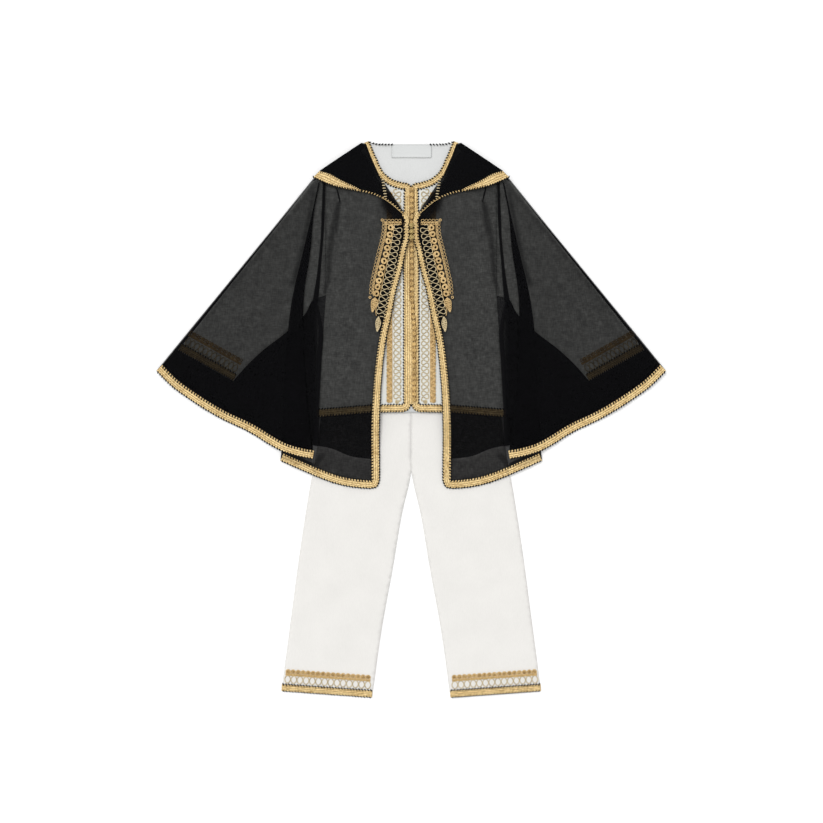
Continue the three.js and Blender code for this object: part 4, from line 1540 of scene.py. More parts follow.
@dataclass
class Tunic:
    """White tunic inside the cape: back, fronts, sleeves, label, braid, gimp, looped cord and buttons."""

    maker: Maker
    pattern: Pattern = PATTERN
    step: float = 5.0
    neck_braid: float = 7.5
    front_braid: float = 10.5
    band_middle: float = -30.2
    band_half: float = 3.8
    band_swing: float = 6.0
    band_low: float = 24.0
    band_top: float = 318.0
    cord_middle: float = -19.5
    cord_reach: float = 10.0
    cord_low: float = 26.0
    cord_top: float = 322.0
    cuff_braid: float = 10.5
    cuff_loops: float = 13.0
    inner_stitch: Stitch = Stitch(4.0, 2.7, -38.0, 1.0, 41)
    neck_stitch: Stitch = Stitch(4.0, 2.6, -40.0, 1.0, 42)
    hem_stitch: Stitch = Stitch(4.0, 2.6, -40.0, 1.0, 47)
    back_stitch: Stitch = Stitch(4.2, 2.9, -50.0, 1.0, 46, 1.0)
    cuff_stitch: Stitch = Stitch(4.0, 3.0, 35.0, 0.85, 43)
    cuff_edge_stitch: Stitch = Stitch(3.2, 2.2, 35.0, 0.85, 44)
    buttons: int = 39
    button_pitch: float = 7.75
    button_top: float = 322.0
    neck_turn: tuple = ((-5.4, 330.6), (-2.4, 328.6))
    neck_back: tuple = ((-57.5, 388), (-47, 385), (-27, 385))
    button_line: tuple = ((0.9, 322), (0.9, 170), (4.3, 128), (4.3, 24))
    button_radius: float = 3.45
    label: tuple[float, float, float, float] = (-27.5, 366.5, 28.5, 384.0)
    label_seam: float = 0.8
    creases: tuple[Crease, ...] = (
        Crease(((-60, 120), (-84, 90), (-96, 40)), 16.0, 0.8),
        Crease(((-112, 168), (-96, 134), (-92, 96)), 10.0, 0.9),
        Crease(((-116, 190), (-86, 214), (-66, 252)), 12.0, 0.7),
        Crease(((-100, 300), (-84, 268), (-80, 226)), 14.0, -0.5),
        Crease(((-70, 70), (-76, 36), (-78, 12)), 13.0, -0.5),
    )
    sleeve_creases: tuple[Crease, ...] = (
        Crease(((-150, 160), (-176, 176), (-206, 176)), 9.0, 0.9),
        Crease(((-146, 174), (-160, 206), (-168, 244)), 10.0, 0.8),
        Crease(((-210, 110), (-226, 136), (-250, 150)), 12.0, 0.8),
        Crease(((-186, 252), (-214, 206), (-244, 168)), 16.0, -0.5),
        Crease(((-250, 76), (-266, 96), (-286, 106)), 10.0, 0.6),
    )

    def build(self) -> None:
        """Makes the tunic."""
        self.back()
        self.neck_label()
        for side in Side:
            self.sleeve(side)
            self.front(side)
            self.front_trims(side)
            self.cuff(side)
        self.knots()

    def back(self) -> None:
        """Makes the back, in one piece."""
        half = self.pattern.half_back()
        kept = half[half[:, 0] < -0.5]
        outline = ring(kept, kept[::-1] * [-1, 1])
        flat, corners = cut(outline, self.step, 31)
        work = Work()
        work.shell(flat, corners, self.maker.layers.tunic_back.at)
        below = [f"back_voile_{side.value}" for side in Side]
        # The back takes the crepe painted darker as shade.
        cloth, size = self.maker.finishes.tunic_shaded, Cut.of(outline)
        self.maker.cloth(work, "tunic_back_cloth", "tunic_back", cloth, size, below)

    def neck_label(self) -> None:
        """Makes the blank label, with a narrow turned hem all round."""
        left, low, right, high = self.label
        outline = oblong(left, low, right, high, 1.5)
        flat, faces = cut(outline, 1.8, 32)
        work = Work()
        lie = self.maker.layers.tunic_back
        border = looped(outline)

        def height(points: np.ndarray) -> np.ndarray:
            gap = gap_to(points, border)[0]
            hem = 0.25 * (1 - ease((gap - 1.4) / 0.8)) + 0.15 * np.sin(points[:, 0] * 0.12)
            return lie.at(points) + 0.95 + hem

        work.shell(flat, faces, height, 0.5)
        satin, size = self.maker.finishes.label, Cut.oblong(right - left, high - low)
        self.maker.cloth(work, "label_blank", "neck_label", satin, size, ["tunic_back_cloth"])
        seam = Work()
        inset = self.label_seam
        left, low, right, high = left + inset, low + inset, right - inset, high - inset
        run = straight([(left, high), (left, low), (right, low), (right, high)], 2.2)
        for start, end in zip(run[::2], run[1::2]):
            flat_line = np.linspace(start, end, 3)
            lift = np.array([0.1, 0.3, 0.1])
            seam.tube(np.column_stack([flat_line, height(flat_line) + 0.25 + lift * 0.5]), 0.22, 5)
        self.maker.trim(seam, "label_stitches", satin)

    def front_height(self, side: Side) -> Height:
        """Height of a front's middle."""
        lie = self.maker.layers.tunic_front

        def height(points: np.ndarray) -> np.ndarray:
            folds = sum(crease.at(points) for crease in self.creases)
            return lie.at(points, side) + np.clip(folds, -0.5, 0.8)

        return height

    def front(self, side: Side) -> None:
        """Makes one front."""
        outline = self.pattern.half_front()
        flat, corners = cut(outline, self.step, side.seed(33))
        work = Work(side)
        work.shell(flat, corners, self.front_height(side))
        names = (f"tunic_front_cloth_{side.value}", f"tunic_front_{side.value}")
        cloth = self.maker.finishes.tunic
        self.maker.cloth(work, *names, cloth, Cut.of(outline), ["tunic_back_cloth"])

    def sleeve_height(self, side: Side, face: Face = Face.TOP) -> Height:
        """Height of a sleeve's upper or under layer, which meet at its seam and at its fold."""
        layers = self.maker.layers
        own = layers.sleeve_over if face is Face.TOP else layers.sleeve_under
        seams = [smooth(self.pattern.sleeve_under[1:], 5), straight(self.pattern.sleeve_over[:2], 5)]

        def height(points: np.ndarray) -> np.ndarray:
            gap = nearest(points, seams)
            middle = (layers.sleeve_over.at(points, side) + layers.sleeve_under.at(points, side)) / 2
            level = middle + (own.at(points, side) - middle) * np.sqrt(ease(gap / 4))
            if face is Face.UNDER:
                return level
            folds = sum(crease.at(points) for crease in self.sleeve_creases)
            return level + np.clip(folds, -0.4, 0.8) * ease(gap / 12)

        return height

    def sleeve(self, side: Side) -> None:
        """Makes one sleeve, a flat tube with its seam below and its fold above."""
        outline = self.pattern.sleeve()
        flat, corners = cut(outline, self.step, side.seed(35))
        work = Work(side)
        work.shell(flat, corners, lifted(self.sleeve_height(side), 0.2))
        work.shell(flat, corners, lifted(self.sleeve_height(side, Face.UNDER), -0.5))
        name, size = side.value, Cut.of(outline, layers=2)
        names, below = (f"sleeve_tube_{name}", f"sleeve_{name}"), [f"cape_back_{name}"]
        self.maker.cloth(work, *names, self.maker.finishes.tunic, size, below)

    def edge(self) -> Line:
        """The edge that the tunic's braid follows, from the neck down the opening and along the hem."""
        neck = smooth(self.pattern.tunic_neck, 1.0)
        turn = [self.pattern.tunic_neck[-1], *self.neck_turn, self.pattern.opening_top]
        opening = straight([self.pattern.opening_top, self.pattern.hem_notch[0]], 1.0)
        hem = even(straight(self.pattern.tunic_hem), 1.0)
        return joined(neck, smooth(turn, 1.0), opening, smooth(self.pattern.hem_notch, 1.0), hem)

    def front_trims(self, side: Side) -> None:
        """Trims one front: braid along its edges, looped cord, and a gimp band."""
        maker, name = self.maker, side.value
        top = lifted(self.front_height(side), 0.25)
        braid = Work(side)
        fine = even(self.edge(), 1.0)
        reach = np.minimum(self.front_braid, self.neck_braid + np.linspace(0, 1, len(fine)) * 10)
        braid.band(shifted(fine, -0.2), beside(fine, reach), top)
        thread = Work(side)
        whip(thread, beside(fine, reach - 0.1)[4:-4], top, self.inner_stitch)
        edges = shifted(fine, 0.6)
        neck_end = int(np.argmax(fine[:, 1] < self.pattern.opening_top[1] - 1))
        hem_start = int(np.argmax(fine[:, 1] < self.pattern.hem_notch[0][1] - 1))
        whip(thread, edges[2:neck_end], top, self.neck_stitch)
        whip(thread, edges[hem_start:-3], top, self.hem_stitch)
        whip(thread, straight(self.neck_back, 1.0), top, self.back_stitch)
        loops = Work(side)
        low, high = self.cord_low, self.cord_top
        axis = np.array([(self.cord_middle, high), (self.cord_middle, low)], float)
        laid_cord(loops, meander(axis, self.cord_reach, 8.6, 115.0), top, 0.66, 0.1, 0.22)
        curl = coil((self.cord_middle, low - 1.5), 2.8, 0.4, 1.6, 1.6)
        laid_cord(loops, even(curl, 0.5), top, 0.7)
        gimp = Work(side)
        self.gimp_band(gimp, top)
        finishes = maker.finishes
        maker.trim(braid, f"tunic_plait_{name}", finishes.braid, f"tunic_braid_{name}")
        maker.trim(loops, f"tunic_loop_cord_{name}", finishes.cord, f"tunic_cord_{name}")
        maker.trim(gimp, f"tunic_gimp_{name}", finishes.gimp, f"tunic_band_{name}")
        maker.stitches(thread, f"tunic_stitches_{name}")

    def gimp_band(self, work: Work, top: Height) -> None:
        """Lays the gimp band: a narrow plait with cord beside it and small loops outside."""
        run = straight([(self.band_middle, self.band_top), (self.band_middle, self.band_low)], 1.0)
        work.band(shifted(run, -self.band_half + 0.9), shifted(run, 2.6), top, rows=2, rise=0.5, columns=6)
        laid_cord(work, shifted(run, -self.band_half + 0.5), top, 0.65, 0.0, 0.0)
        middle = shifted(run, 0.6)
        for swing, tone in ((self.band_swing, -0.2), (-self.band_swing, 0.3)):
            laid_cord(work, meander(middle, swing, 8.6, 75.0), top, 0.95, 0.35, tone)

    def cuff(self, side: Side) -> None:
        """Trims one cuff like the hems."""
        maker, name = self.maker, side.value
        middle = self.sleeve_height(side)

        def top(points: np.ndarray) -> np.ndarray:
            return np.minimum(middle(points) + 0.45, maker.layers.wing.at(points, side) - 1.7)

        run = straight(self.pattern.cuff, 1.0)
        braid = Work(side)
        braid.band(shifted(run, 0.3), shifted(run, self.cuff_braid), top)
        loops = Work(side)
        axis = shifted(run, self.cuff_braid + self.cuff_loops / 2)[3:-3]
        for swing in (self.cuff_loops - 2, 2 - self.cuff_loops):
            laid_cord(loops, meander(axis, swing, 13.0, 60.0), top, 0.6, 0.2, 0.1)
        band = Work(side)
        start = self.cuff_braid + self.cuff_loops + 1.0
        inner = run[2:-2]
        for lift in (0.6, 2.4):
            laid_cord(band, shifted(inner, start + lift), lifted(top, -0.6), 0.9, 0.0, 0.05)
        rng = np.random.default_rng(6)
        spots = even(shifted(inner, start + 5.2), 7.0)
        for spot in spots[1:-1]:
            rosette(band, spot, lifted(top, -0.6), 3.1, rng, 0.15, filled=False)
        laid_cord(band, picots(shifted(inner, start + 4.6), 1.8, 4.6), top, 0.45, 0.1, 0.2)
        thread = Work(side)
        whip(thread, shifted(run, self.cuff_braid)[2:-2], top, self.cuff_stitch)
        whip(thread, shifted(run, 0.8)[2:-2], top, self.cuff_edge_stitch)
        finishes = maker.finishes
        maker.trim(braid, f"cuff_plait_{name}", finishes.dull_braid, f"cuff_braid_{name}")
        maker.trim(band, f"cuff_scallops_{name}", finishes.gimp, f"cuff_band_{name}")
        maker.trim(loops, f"cuff_loop_cord_{name}", finishes.cord)
        maker.stitches(thread, f"cuff_stitches_{name}")

    def knots(self) -> None:
        """Makes the column of knot buttons down the opening, with the cord that they sit on."""
        middle = self.front_height(Side.RIGHT)
        rng = np.random.default_rng(7)
        work = Work()
        spots = self.button_top - np.arange(self.buttons) * self.button_pitch
        guide = np.array(self.button_line[::-1], float)
        base = 1.35
        for y in spots:
            x = float(np.interp(y, guide[:, 1], guide[:, 0])) + rng.uniform(-0.3, 0.3)
            place = np.array([[-abs(x) - 1.0, y]])
            centre = np.array([x, y + rng.uniform(-0.4, 0.4), middle(place)[0] + base + 1.0])
            tone = rng.uniform(-0.15, 0.25)
            knot_ball(work, centre, self.button_radius, 1.0, rng.uniform(0, 6.28), tone)
        run = np.linspace(self.button_top + 2, spots[-1] - 2, 200)
        line = np.stack([np.interp(run, guide[:, 1], guide[:, 0]), run], 1)
        probe = line * [0, 1] + [-2.5, 0]
        # The cords under the knots are painted dark, as shade under and beside the knots.
        for off in (-1.7, 1.9):
            beneath = np.column_stack([line + [off, 0], middle(probe) + base - 0.4])
            work.tube(beneath, 1.2, 6, 0.6, tone=0.6)
        self.maker.trim(work, "button_knots", self.maker.finishes.knot, "tunic_knots")


@dataclass(frozen=True)
class Strip:
    """A fold of the voile, where the cloth lies doubled over itself along a line, or a line of painted shade
    given as more cloth.
    """

    line: tuple[tuple[float, float], ...]
    widths: tuple[float, ...]
    extra: float
    soft: float = 1.2
    layer: int = 0
    rise: float = 0.8

    def lines(self) -> list[Line]:
        """Lines down the fold's middle and beside both of its edges."""
        middle = even(smooth(self.line), 1.8)
        places = np.linspace(0, 1, len(middle))
        half = np.interp(places, np.linspace(0, 1, len(self.widths)), self.widths) / 2
        reaches = (half * 0, half - self.soft / 2, half + self.soft / 2)
        return [beside(middle, turn * reach) for reach in reaches for turn in (-1, 1)]

    def share(self, points: np.ndarray) -> np.ndarray:
        """How fully each point lies in the fold, from 0 to 1."""
        gap, along = gap_to(points, smooth(self.line))
        half = np.interp(along, np.linspace(0, 1, len(self.widths)), self.widths) / 2
        return ease((half + self.soft / 2 - gap) / self.soft)

    def at(self, points: np.ndarray) -> np.ndarray:
        """Extra layers of cloth at points, which are painted shade where the strip stands for shade."""
        return self.extra * self.share(points)


@dataclass
class Cape:
    """Sheer black cape: back halves, fronts with deep pleats, braid, corded panels and closing knots."""

    maker: Maker
    pattern: Pattern = PATTERN
    step: float = 4.5
    braid: float = 11.5
    narrowing: float = 7.5
    neck_strip: tuple = ((-2.8, 274.6), (-4.0, 282), (-8.5, 290.5))
    neck_width: float = 6.2
    hem_stitch: Stitch = Stitch(4.1, 3.8, 22.0, 0.95, 61)
    front_stitch: Stitch = Stitch(4.1, 2.9, 35.0, 1.0, 66)
    edge_stitch: Stitch = Stitch(4.0, 2.7, 38.0, 1.0, 62)
    neck_stitch: Stitch = Stitch(3.9, 2.6, 38.0, 0.95, 65, 1.5)
    wing_stitch: Stitch = Stitch(4.1, 4.2, 12.0, 1.05, 63)
    wing_edge_stitch: Stitch = Stitch(4.1, 3.0, 34.0, 1.0, 64)
    panel_outer: tuple = ((-39.5, 277), (-40.3, 263), (-47.6, 231.4), (-53.8, 204.5), (-57, 189), (-58, 173))
    rosette_line: tuple = ((-28.5, 268), (-34.7, 234), (-40.3, 214), (-48.7, 176))
    inner_line: tuple = (
        (-23.5, 271), (-26.9, 252.7), (-28.6, 241.5), (-32.5, 223.6), (-38.1, 202.3), (-43.7, 174.3),
        (-47.6, 159.7), (-49.8, 151.9), (-48.6, 145),
    )
    cord_axis: tuple = (
        (-17.6, 271.5), (-20.7, 253.8), (-25.2, 230.3), (-31.4, 196.7), (-39.2, 167.6), (-43.6, 144.5),
    )
    cord_reach: float = 11.8
    panel_high: tuple = ((-38.5, 275.6), (-13.5, 275.6))
    rings: tuple = ((-40.6, 278.8), (-57.6, 171.0))
    rosettes: int = 11
    leaf: tuple = (
        (-50.5, 170.5), (-54.8, 167), (-55.9, 160), (-54.3, 151), (-49.6, 158), (-46.6, 165), (-50.5, 170.5),
    )
    second_leaf: tuple = ((-45.5, 144), (-48.8, 139), (-47.4, 124), (-42.8, 135), (-45.5, 144))
    facing: tuple = (
        (-3, 284), (-27, 281), (-29, 268), (-35, 234), (-41, 214), (-49, 176), (-48, 150), (-42, 118),
        (-34, 110), (-20, 180), (-6, 240),
    )
    strips: tuple[Strip, ...] = (
        Strip(
            ((-122, 329), (-122.6, 307), (-125.2, 251), (-127.7, 223), (-130.5, 195), (-134, 167)),
            (3, 4, 3, 4, 7), 1.6,
        ),
        Strip(
            ((-134, 167), (-126.6, 125), (-128.8, 83), (-130.5, 41), (-132.2, 0), (-133.5, -34)),
            (3, 6, 6, 5, 8), 1.2,
        ),
        Strip(((-103.9, 322), (-101.8, 314), (-99.9, 305)), (1.2, 1.8, 1.0), 1.8, 0.8),
        # This strip and the next are painted shade along the tunic's side seam beneath, given as a little
        # more cloth over a raised ridge.
        Strip(((-100, 305), (-102.5, 286), (-105, 262)), (3, 4, 3), 0.25, 4.0),
        Strip(
            ((-102.5, 303), (-111.9, 251), (-115.1, 223), (-116.8, 195), (-122, 178)),
            (3, 7, 7, 6, 3), 0.3, 5.0,
        ),
        Strip(((-124, -50), (-134, -62), (-135, -76)), (7, 8, 7), 0.25, 3.0),
        Strip(((-184, -49), (-160, -58), (-141, -64)), (12, 13, 8), 1.4, 2.0),
        Strip(((-136, 331), (-190, 266), (-262, 178), (-330, 95)), (9, 9, 9, 9), 0.22, 8.0, 2),
        Strip(((-137, 318), (-144, 279), (-152, 240), (-165, 190)), (3, 4, 5, 6), 0.35, 6.0, 2),
    )
    panel_width: float = 139.0
    pleat_depth: float = 30.0
    wing_width: float = 206.0
    front_length: float = 440.0
    knots: int = 3
    knot_y: float = 271.0
    knot_pitch: float = 8.2
    knot_radius: float = 3.9

    def build(self) -> None:
        """Makes the cape."""
        for side in Side:
            self.back(side)
            self.front(side)
            self.braids(side)
            self.panel(side)
        self.closing()

    def back(self, side: Side) -> None:
        """Makes one half of the back."""
        outline = self.pattern.cape_back()
        flat, corners = cut(outline, self.step, side.seed(51))
        lie = self.maker.layers.cape_back
        work = Work(side)
        doubled = 1.8 * ease((-130 - flat[:, 0]) / 7)
        work.sheet(flat, corners, lambda points: np.maximum(lie.at(points, side), 0.3), doubled)
        name, cloth = side.value, self.maker.finishes.voile
        names, below = (f"back_voile_{name}", f"cape_back_{name}"), [f"leg_front_{name}"]
        self.maker.cloth(work, *names, cloth, Cut.of(outline), below)

    def front_height(self, side: Side) -> Height:
        """Height of the front panel, which rises a little where it turns back into the pleat."""
        return self.towards_fold(self.maker.layers.cape_front, self.pattern.pleat_back, 0.6, side)

    def wing_height(self, side: Side) -> Height:
        """Height of the wing, which rolls down to the layer below it at the pleat's edge."""
        return self.towards_fold(self.maker.layers.wing, self.pattern.pleat_edge, -0.6, side)

    @staticmethod
    def towards_fold(lie: Lie, fold: tuple, lift: float, side: Side) -> Height:
        """Height of a layer that is lifted or lowered along its fold."""
        edge = smooth(fold, 5)

        def height(points: np.ndarray) -> np.ndarray:
            return lie.at(points, side) + lift * (1 - ease(gap_to(points, edge)[0] / 3))

        return height

    def front(self, side: Side) -> None:
        """Makes one front in three layers that run into each other at the pleat's two folds."""
        layers = self.maker.layers
        front, wing = self.front_height(side), self.wing_height(side)
        back_fold = smooth(self.pattern.pleat_back, 4)
        edge_fold = smooth(self.pattern.pleat_edge, 4)

        def between(points: np.ndarray) -> np.ndarray:
            to_back = gap_to(points, back_fold)[0]
            to_edge = gap_to(points, edge_fold)[0]
            low, high = front(points), wing(points)
            share = to_back / np.maximum(to_back + to_edge, 1e-6)
            middle = layers.cape_front.at(points, side) * 0.5 + layers.wing.at(points, side) * 0.5
            curve = low * (1 - share) + high * share
            return np.where((to_back < 0.01) | (to_edge < 0.01), curve, 0.6 * middle + 0.4 * curve)

        work = Work(side)
        total = 0.0
        seed = side.seed(53, apart=3)
        outlines = (self.pattern.cape_front(), self.pattern.pleat_turn(), self.pattern.wing())
        for index, (outline, height) in enumerate(zip(outlines, (front, between, wing))):
            strips = [strip for strip in self.strips if strip.layer == index]
            folds = [line for strip in strips for line in strip.lines()]
            if index == 0:
                border = straight([*self.facing, self.facing[0]], 2.2)
                folds += [border, beside(border, 2.0), beside(border, -2.0)]
            flat, corners = cut(outline, self.step, seed + index, folds=folds)

            def raised(points: np.ndarray) -> np.ndarray:
                return height(points) + sum(strip.rise * strip.share(points) for strip in strips)

            work.sheet(flat, corners, raised, self.gathers(flat, index))
            total += area_of(outline)
        name, cloth = side.value, self.maker.finishes.voile
        size = Cut(self.panel_width + self.pleat_depth + self.wing_width, self.front_length, total)
        names, below = (f"front_voile_{name}", f"cape_front_{name}"), ("tunic_front_cloth", "sleeve_tube")
        below = [f"{piece}_{name}" for piece in below]
        self.maker.cloth(work, *names, cloth, size, below, weld=0.02)

    def gathers(self, flat: np.ndarray, layer: int) -> np.ndarray:
        """How much more cloth than one layer lies at each point, with painted shade given as more layers
        below the back's hem and under the hood's edge.

        Args:
            flat: points on the table.
            layer: 0 for the front panel, 1 for the turned layer, 2 for the wing.

        Returns:
            Extra layers at each point, painted shade included.
        """
        extra = np.full(len(flat), (0.03, 0.0, 0.1)[layer])
        for strip in self.strips:
            if strip.layer == layer:
                extra += strip.at(flat)
        if layer == 0:
            # Below the back's hem the front is painted darker, as shade, by a fifth of a layer more.
            hem = smooth(self.pattern.back_hem, 4)
            low = np.interp(flat[:, 0], hem[:, 0], hem[:, 1])
            extra += 0.19 * ease((low - flat[:, 1]) / 3)
            facing = np.array(self.facing, float)
            depth = np.where(inside(flat, facing), 1.0, -1.0) * gap_to(flat, looped(facing))[0]
            extra += 1.7 * ease((depth + 2) / 4)
            # Under the hood's edge the front is painted darker, as the shade that the hood casts.
            shade = gap_to(flat, np.array(self.pattern.hood_edge[3:], float))[0]
            extra += 1.5 * ease(1 - shade / 19) * ease((flat[:, 0] + 47) / 15)
        return extra

    def edge_width(self, share: np.ndarray) -> np.ndarray:
        """How wide the front braid is along its run, narrowing towards the neck."""
        return -(self.braid - self.narrowing * np.maximum(0, share - 0.45))

    def braids(self, side: Side) -> None:
        """Sews the braid along the front's hem and edge, and along the wing's hem."""
        maker, name = self.maker, side.value
        front, wing = self.front_height(side), self.wing_height(side)
        braid = Work(side)
        fine = even(self.pattern.hem_and_front(1.0), 1.0)
        reach = self.edge_width(np.linspace(0, 1, len(fine)))
        braid.band(shifted(fine, -0.6), beside(fine, reach), lifted(front, 0.1))
        thread = Work(side)
        inner = beside(fine, reach + 0.6)[3:-3]
        narrow = int(0.45 * len(inner))
        whip(thread, inner[:narrow], front, self.hem_stitch)
        whip(thread, inner[narrow:], front, self.front_stitch)
        whip(thread, shifted(fine, -0.7)[3:-3], front, self.edge_stitch)
        neck = smooth(self.neck_strip, 1.0)
        braid.band(neck, beside(neck, -self.neck_width), lifted(front, 0.3), rows=3, columns=9)
        whip(thread, beside(neck, 0.3 - self.neck_width)[1:-1], front, self.neck_stitch)
        hem = smooth(self.pattern.wing_hem, 1.0)
        over = Work(side)
        over.band(shifted(hem, -0.5), beside(hem, -self.braid - 0.5), lifted(wing, 0.1))
        whip(thread, beside(hem, 0.8 - self.braid)[3:-3], wing, self.wing_stitch)
        whip(thread, shifted(hem, -0.6)[3:-3], wing, self.wing_edge_stitch)
        finishes = maker.finishes
        maker.trim(braid, f"cape_plait_{name}", finishes.braid, f"cape_braid_{name}")
        maker.trim(over, f"wing_plait_{name}", finishes.braid, f"wing_braid_{name}")
        maker.stitches(thread, f"cape_stitches_{name}")

    def panel(self, side: Side) -> None:
        """Lays one corded panel: picots, gimp, rosettes and leaves, and the looped cord beside it."""
        maker, name = self.maker, side.value
        top = lifted(self.front_height(side), 0.1)
        work = Work(side)
        outer = smooth(self.panel_outer, 1.0)[::-1]
        laid_cord(work, shifted(outer, 5.2), top, 0.55, 0.1, 0.1)
        laid_cord(work, picots(shifted(outer, 3.4)[2:], -2.05, 4.9), top, 0.32, 0.15, 0.0)
        laid_cord(work, meander(shifted(outer, 4.2)[2:-2], 1.9, 4.6, 60.0), top, 0.5, 0.15, 0.0)
        rng = np.random.default_rng(side.seed(8))
        line = smooth(self.rosette_line, 1.0)
        for spot in even(line, run_of(line)[-1] / (self.rosettes - 1)):
            rosette(work, spot + rng.uniform(-0.3, 0.3, 2), top, 4.9, rng, filled=False)
        high = straight(self.panel_high, 1.0)
        laid_cord(work, high, top, 0.7, 0.1, 0.1)
        laid_cord(work, meander(shifted(high, 1.7), 2.2, 5.0, 60.0), top, 0.5, 0.15, 0.0)
        laid_cord(work, shifted(high, 3.2)[1:], top, 0.5, 0.1, 0.1)
        laid_cord(work, picots(shifted(high, -0.2), -2.0, 4.9), top, 0.32, 0.15, 0.0)
        laid_cord(work, smooth(self.inner_line, 0.8), top, 0.5, 0.05, 0.1)
        for centre in self.rings:
            laid_ring(work, round_line(centre, 1.5, 18), lifted(top, 0.6), 0.6)
        self.leaf_on(work, self.leaf, top)
        cord = Work(side)
        laid_cord(cord, meander(smooth(self.cord_axis, 1.0), self.cord_reach, 8.7, 115.0), top, 0.54, 0.1)
        self.leaf_on(cord, self.second_leaf, top)
        finishes = maker.finishes
        maker.trim(work, f"panel_cords_{name}", finishes.gimp, f"chest_panel_{name}")
        maker.trim(cord, f"panel_loop_cord_{name}", finishes.cord, f"chest_cord_{name}")

    def leaf_on(self, work: Work, shape: tuple, top: Height) -> None:
        """Fills a leaf with cord, laid to and fro down to its tip."""
        sides = smooth(shape, 0.6)
        tip = int(np.argmin(sides[:, 1]))
        edges = (even(sides[: tip + 1], 0.3), even(sides[tip:][::-1], 0.3))
        turns = []
        for index, share in enumerate(np.linspace(0, 0.93, 18)):
            edge = edges[index % 2]
            turns.append(edge[int(share * (len(edge) - 1))])
        laid_cord(work, even(np.array(turns), 0.6), top, 0.62, 0.0, 0.05)
        laid_cord(work, sides, top, 0.6, 0.0, 0.1)
        laid_ring(work, round_line(sides[tip] + [0.0, 0.4], 0.8, 14), lifted(top, 0.8), 0.7)

    def closing(self) -> None:
        """Makes the three knots that close the cape at the chest."""
        front = self.front_height(Side.LEFT)
        for index in range(self.knots):
            y = self.knot_y - index * self.knot_pitch
            base = front(np.array([[-self.knot_radius - 1.0, y]]))[0]
            work = Work()
            centre = np.array([0.5, y, base + 2.2])
            knot_ball(work, centre, self.knot_radius, 1.2, 0.7 * index + 0.4, 0.0)
            name = f"closing_knot_{index + 1}"
            self.maker.trim(work, name, self.maker.finishes.closing, f"cape_knot_{index + 1}")


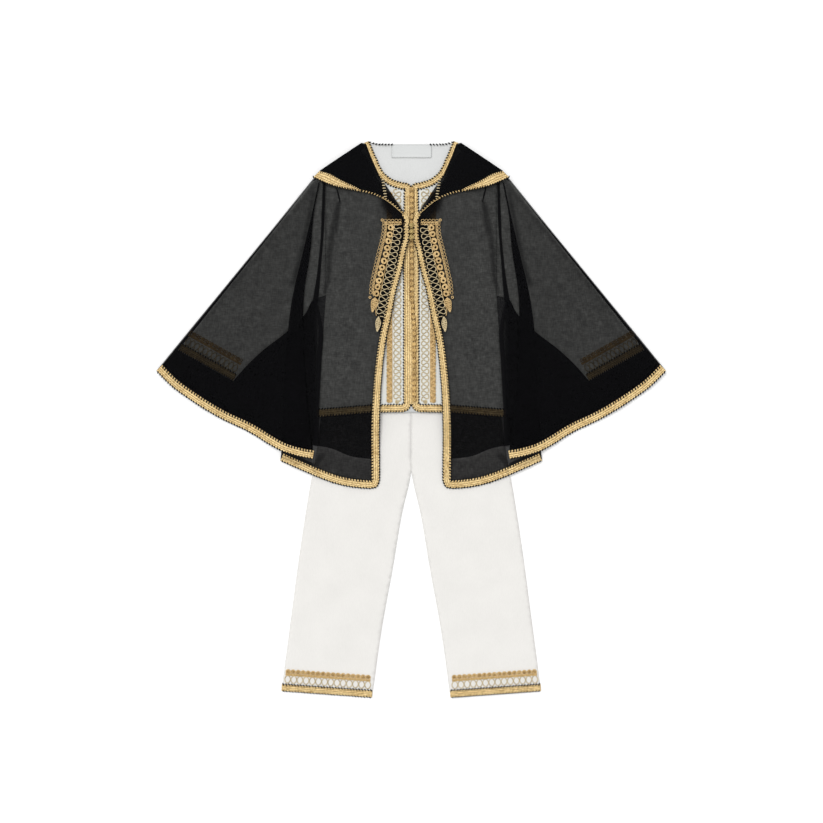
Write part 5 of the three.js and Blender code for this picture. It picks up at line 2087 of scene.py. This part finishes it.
@dataclass
class Hood:
    """Hood turned down over the shoulders: its point under the cape and its flap on top, edged with braid."""

    maker: Maker
    pattern: Pattern = PATTERN
    step: float = 4.0
    braid_top: tuple = (
        (-127.7, 347.4), (-113.7, 343.4), (-99.7, 335.6), (-85.7, 328.9), (-74.5, 323.6), (-70, 320.8),
    )
    sack_heights: tuple[float, float] = (0.5, 1.5)
    size: tuple[float, float] = (128.0, 330.0)
    turn_rows: int = 7
    turn_reach: float = 1.6
    ladder: tuple = ((-39.5, 335.0), (-36.0, 311.5))
    bars: int = 7
    low_stitch: Stitch = Stitch(3.6, 3.2, 50.0, 0.9, 81)
    high_stitch: Stitch = Stitch(3.0, 2.8, -10.0, 0.72, 82)
    rib_stitch: Stitch = Stitch(4.2, 2.8, -25.0, 0.85, 83, 1.1)
    neck_rib_stitch: Stitch = Stitch(4.0, 3.0, -25.0, 0.8, 84, 1.1)

    def build(self) -> None:
        """Makes both halves."""
        for side in Side:
            self.half(side)
            self.trims(side)

    def flap_height(self, side: Side) -> Height:
        """Height of the flap."""
        return lambda points: self.maker.layers.flap.at(points, side)

    def half(self, side: Side) -> None:
        """Makes the flap, the point below, and the turn between them at the shoulder."""
        flap = self.pattern.flap()
        sack = ring(straight([*self.pattern.hood_sack, self.pattern.hood_sack[0]]))
        seed = side.seed(71, apart=2)
        work = Work(side)
        flat, corners = cut(flap, self.step, seed)
        work.sheet(flat, corners, self.flap_height(side))
        flat, corners = cut(sack, self.step * 1.5, seed + 1)
        under, over = self.sack_heights
        work.sheet(flat, corners, lambda points: np.full(len(points), under))
        work.sheet(flat, corners[:, ::-1], lambda points: np.full(len(points), over))
        top = straight(self.pattern.hood_top)
        height = self.flap_height(side)(top)
        turn = []
        for level in np.linspace(0, 1, self.turn_rows):
            out = self.turn_reach * math.sin(math.pi * level)
            turn.append(np.column_stack([shifted(top, -out), under + (height - under) * level]))
        work.add(np.vstack(turn), quads(self.turn_rows, len(top)).tolist())
        name, cloth = side.value, self.maker.finishes.hood
        size = Cut(*self.size, area_of(flap) + 2 * area_of(sack))
        names, below = (f"hood_voile_{name}", f"hood_{name}"), [f"front_voile_{name}"]
        self.maker.cloth(work, *names, cloth, size, below, weld=0.02)

    def trims(self, side: Side) -> None:
        """Sews the braid along the flap's edge, its stitches, and the ladder of bars by the neck."""
        maker, name = self.maker, side.value
        top = self.flap_height(side)
        share = np.linspace(0, 1, 200)
        whole = smooth(self.pattern.hood_edge, 0.5)
        low_end = int(0.47 * len(whole))
        lines = (whole[:low_end], smooth(self.braid_top, 0.5))
        low, high = (sampled(line, np.linspace(0, 1, len(line)), share) for line in lines)
        braid = Work(side)
        braid.band(low + (high - low) * 0.07, high, lifted(top, 0.1))
        thread = Work(side)
        whip(thread, low[3:-8] + [0.2, 1.2], top, self.low_stitch)
        whip(thread, high[6:] - [0.3, 0.5], top, self.high_stitch)
        rest = whole[low_end:]
        half = len(rest) // 2
        whip(braid, beside(even(rest[:half], 1.0), -0.9), top, self.rib_stitch)
        whip(braid, beside(even(rest[half:], 1.0), -1.0), top, self.neck_rib_stitch)
        laid_cord(braid, even(rest[half:], 0.8), top, 0.42)
        ladder = Work(side)
        start, end = np.array(self.ladder)
        for share in np.linspace(0, 1, self.bars):
            middle = start + (end - start) * share
            flat = middle + np.linspace(-2.0, 2.0, 5)[:, None] * np.array([1.0, 0.05])
            rise = np.array([0.3, 0.8, 0.95, 0.8, 0.3])
            ladder.tube(np.column_stack([flat, top(flat) + rise]), 0.7, 6, 0.8)
        finishes = maker.finishes
        maker.trim(braid, f"hood_plait_{name}", finishes.braid, f"hood_braid_{name}")
        maker.trim(ladder, f"hood_ladder_{name}", finishes.cord)
        maker.stitches(thread, f"hood_stitches_{name}")


# Studio


@dataclass
class Studio:
    """Plain pale floor, soft light from above, and the camera straight over the suit."""

    frame_width: float = 1152.2
    centre: tuple[float, float] = (0.4, 11.2)
    lens: float = 85.0
    sensor: float = 36.0
    sky: float = 0.74
    sun: float = 1.3
    sun_tilt: tuple[float, float] = (-22.0, -18.0)

    def build(self) -> None:
        """Makes the camera, the floor and the light."""
        scene = bpy.context.scene
        camera = bpy.data.cameras.new("camera")
        camera.lens = self.lens
        camera.sensor_width = self.sensor
        camera.clip_end = 20.0
        eye = bpy.data.objects.new("camera", camera)
        distance = self.frame_width * MM * self.lens / self.sensor
        eye.location = (self.centre[0] * MM, self.centre[1] * MM, distance + 0.006)
        scene.collection.objects.link(eye)
        scene.camera = eye
        scene.view_settings.view_transform = "Standard"
        scene.view_settings.look = "None"
        self.light(scene)
        self.floor(scene)

    def light(self, scene: bpy.types.Scene) -> None:
        """Makes the white sky and one broad lamp."""
        world = bpy.data.worlds.new("studio_sky")
        world.use_nodes = True
        sky = world.node_tree.nodes["Background"]
        sky.inputs[0].default_value = (1.0, 1.0, 1.0, 1.0)
        sky.inputs[1].default_value = self.sky
        scene.world = world
        lamp = bpy.data.lights.new("soft_lamp", "SUN")
        lamp.energy = self.sun
        lamp.angle = math.radians(24)
        holder = bpy.data.objects.new("soft_lamp", lamp)
        holder.rotation_euler = (math.radians(self.sun_tilt[0]), math.radians(self.sun_tilt[1]), 0.0)
        scene.collection.objects.link(holder)

    def floor(self, scene: bpy.types.Scene) -> None:
        """Makes the white table top."""
        mesh = bpy.data.meshes.new("floor")
        wide = 6.0
        low = -0.0005
        corners = [(-wide, -wide, low), (wide, -wide, low), (wide, wide, low), (-wide, wide, low)]
        mesh.from_pydata(corners, [], [(0, 1, 2, 3)])
        recipe = Recipe("white_table")
        cloud = recipe.mottle(recipe.place(), 400.0)
        white = recipe.blend(cloud, (0.93, 0.93, 0.93), (0.95, 0.95, 0.95))
        mesh.materials.append(
            recipe.finish(
                {
                    "Base Color": white,
                    "Roughness": 0.9,
                    "Specular IOR Level": 0.1,
                    "Emission Color": (1.0, 1.0, 1.0),
                    "Emission Strength": 0.12,
                }
            )
        )
        table = bpy.data.objects.new("floor", mesh)
        scene.collection.objects.link(table)


def main() -> None:
    """Builds the suit and its studio."""
    logging.basicConfig(level=logging.INFO, format="%(message)s", stream=sys.stdout)
    Studio().build()
    maker = Maker(Layers(), Finishes())
    for part in (Trousers(maker), Cape(maker), Tunic(maker), Hood(maker)):
        part.build()
        log.info("built %s", type(part).__name__)


if __name__ == "__main__":
    main()
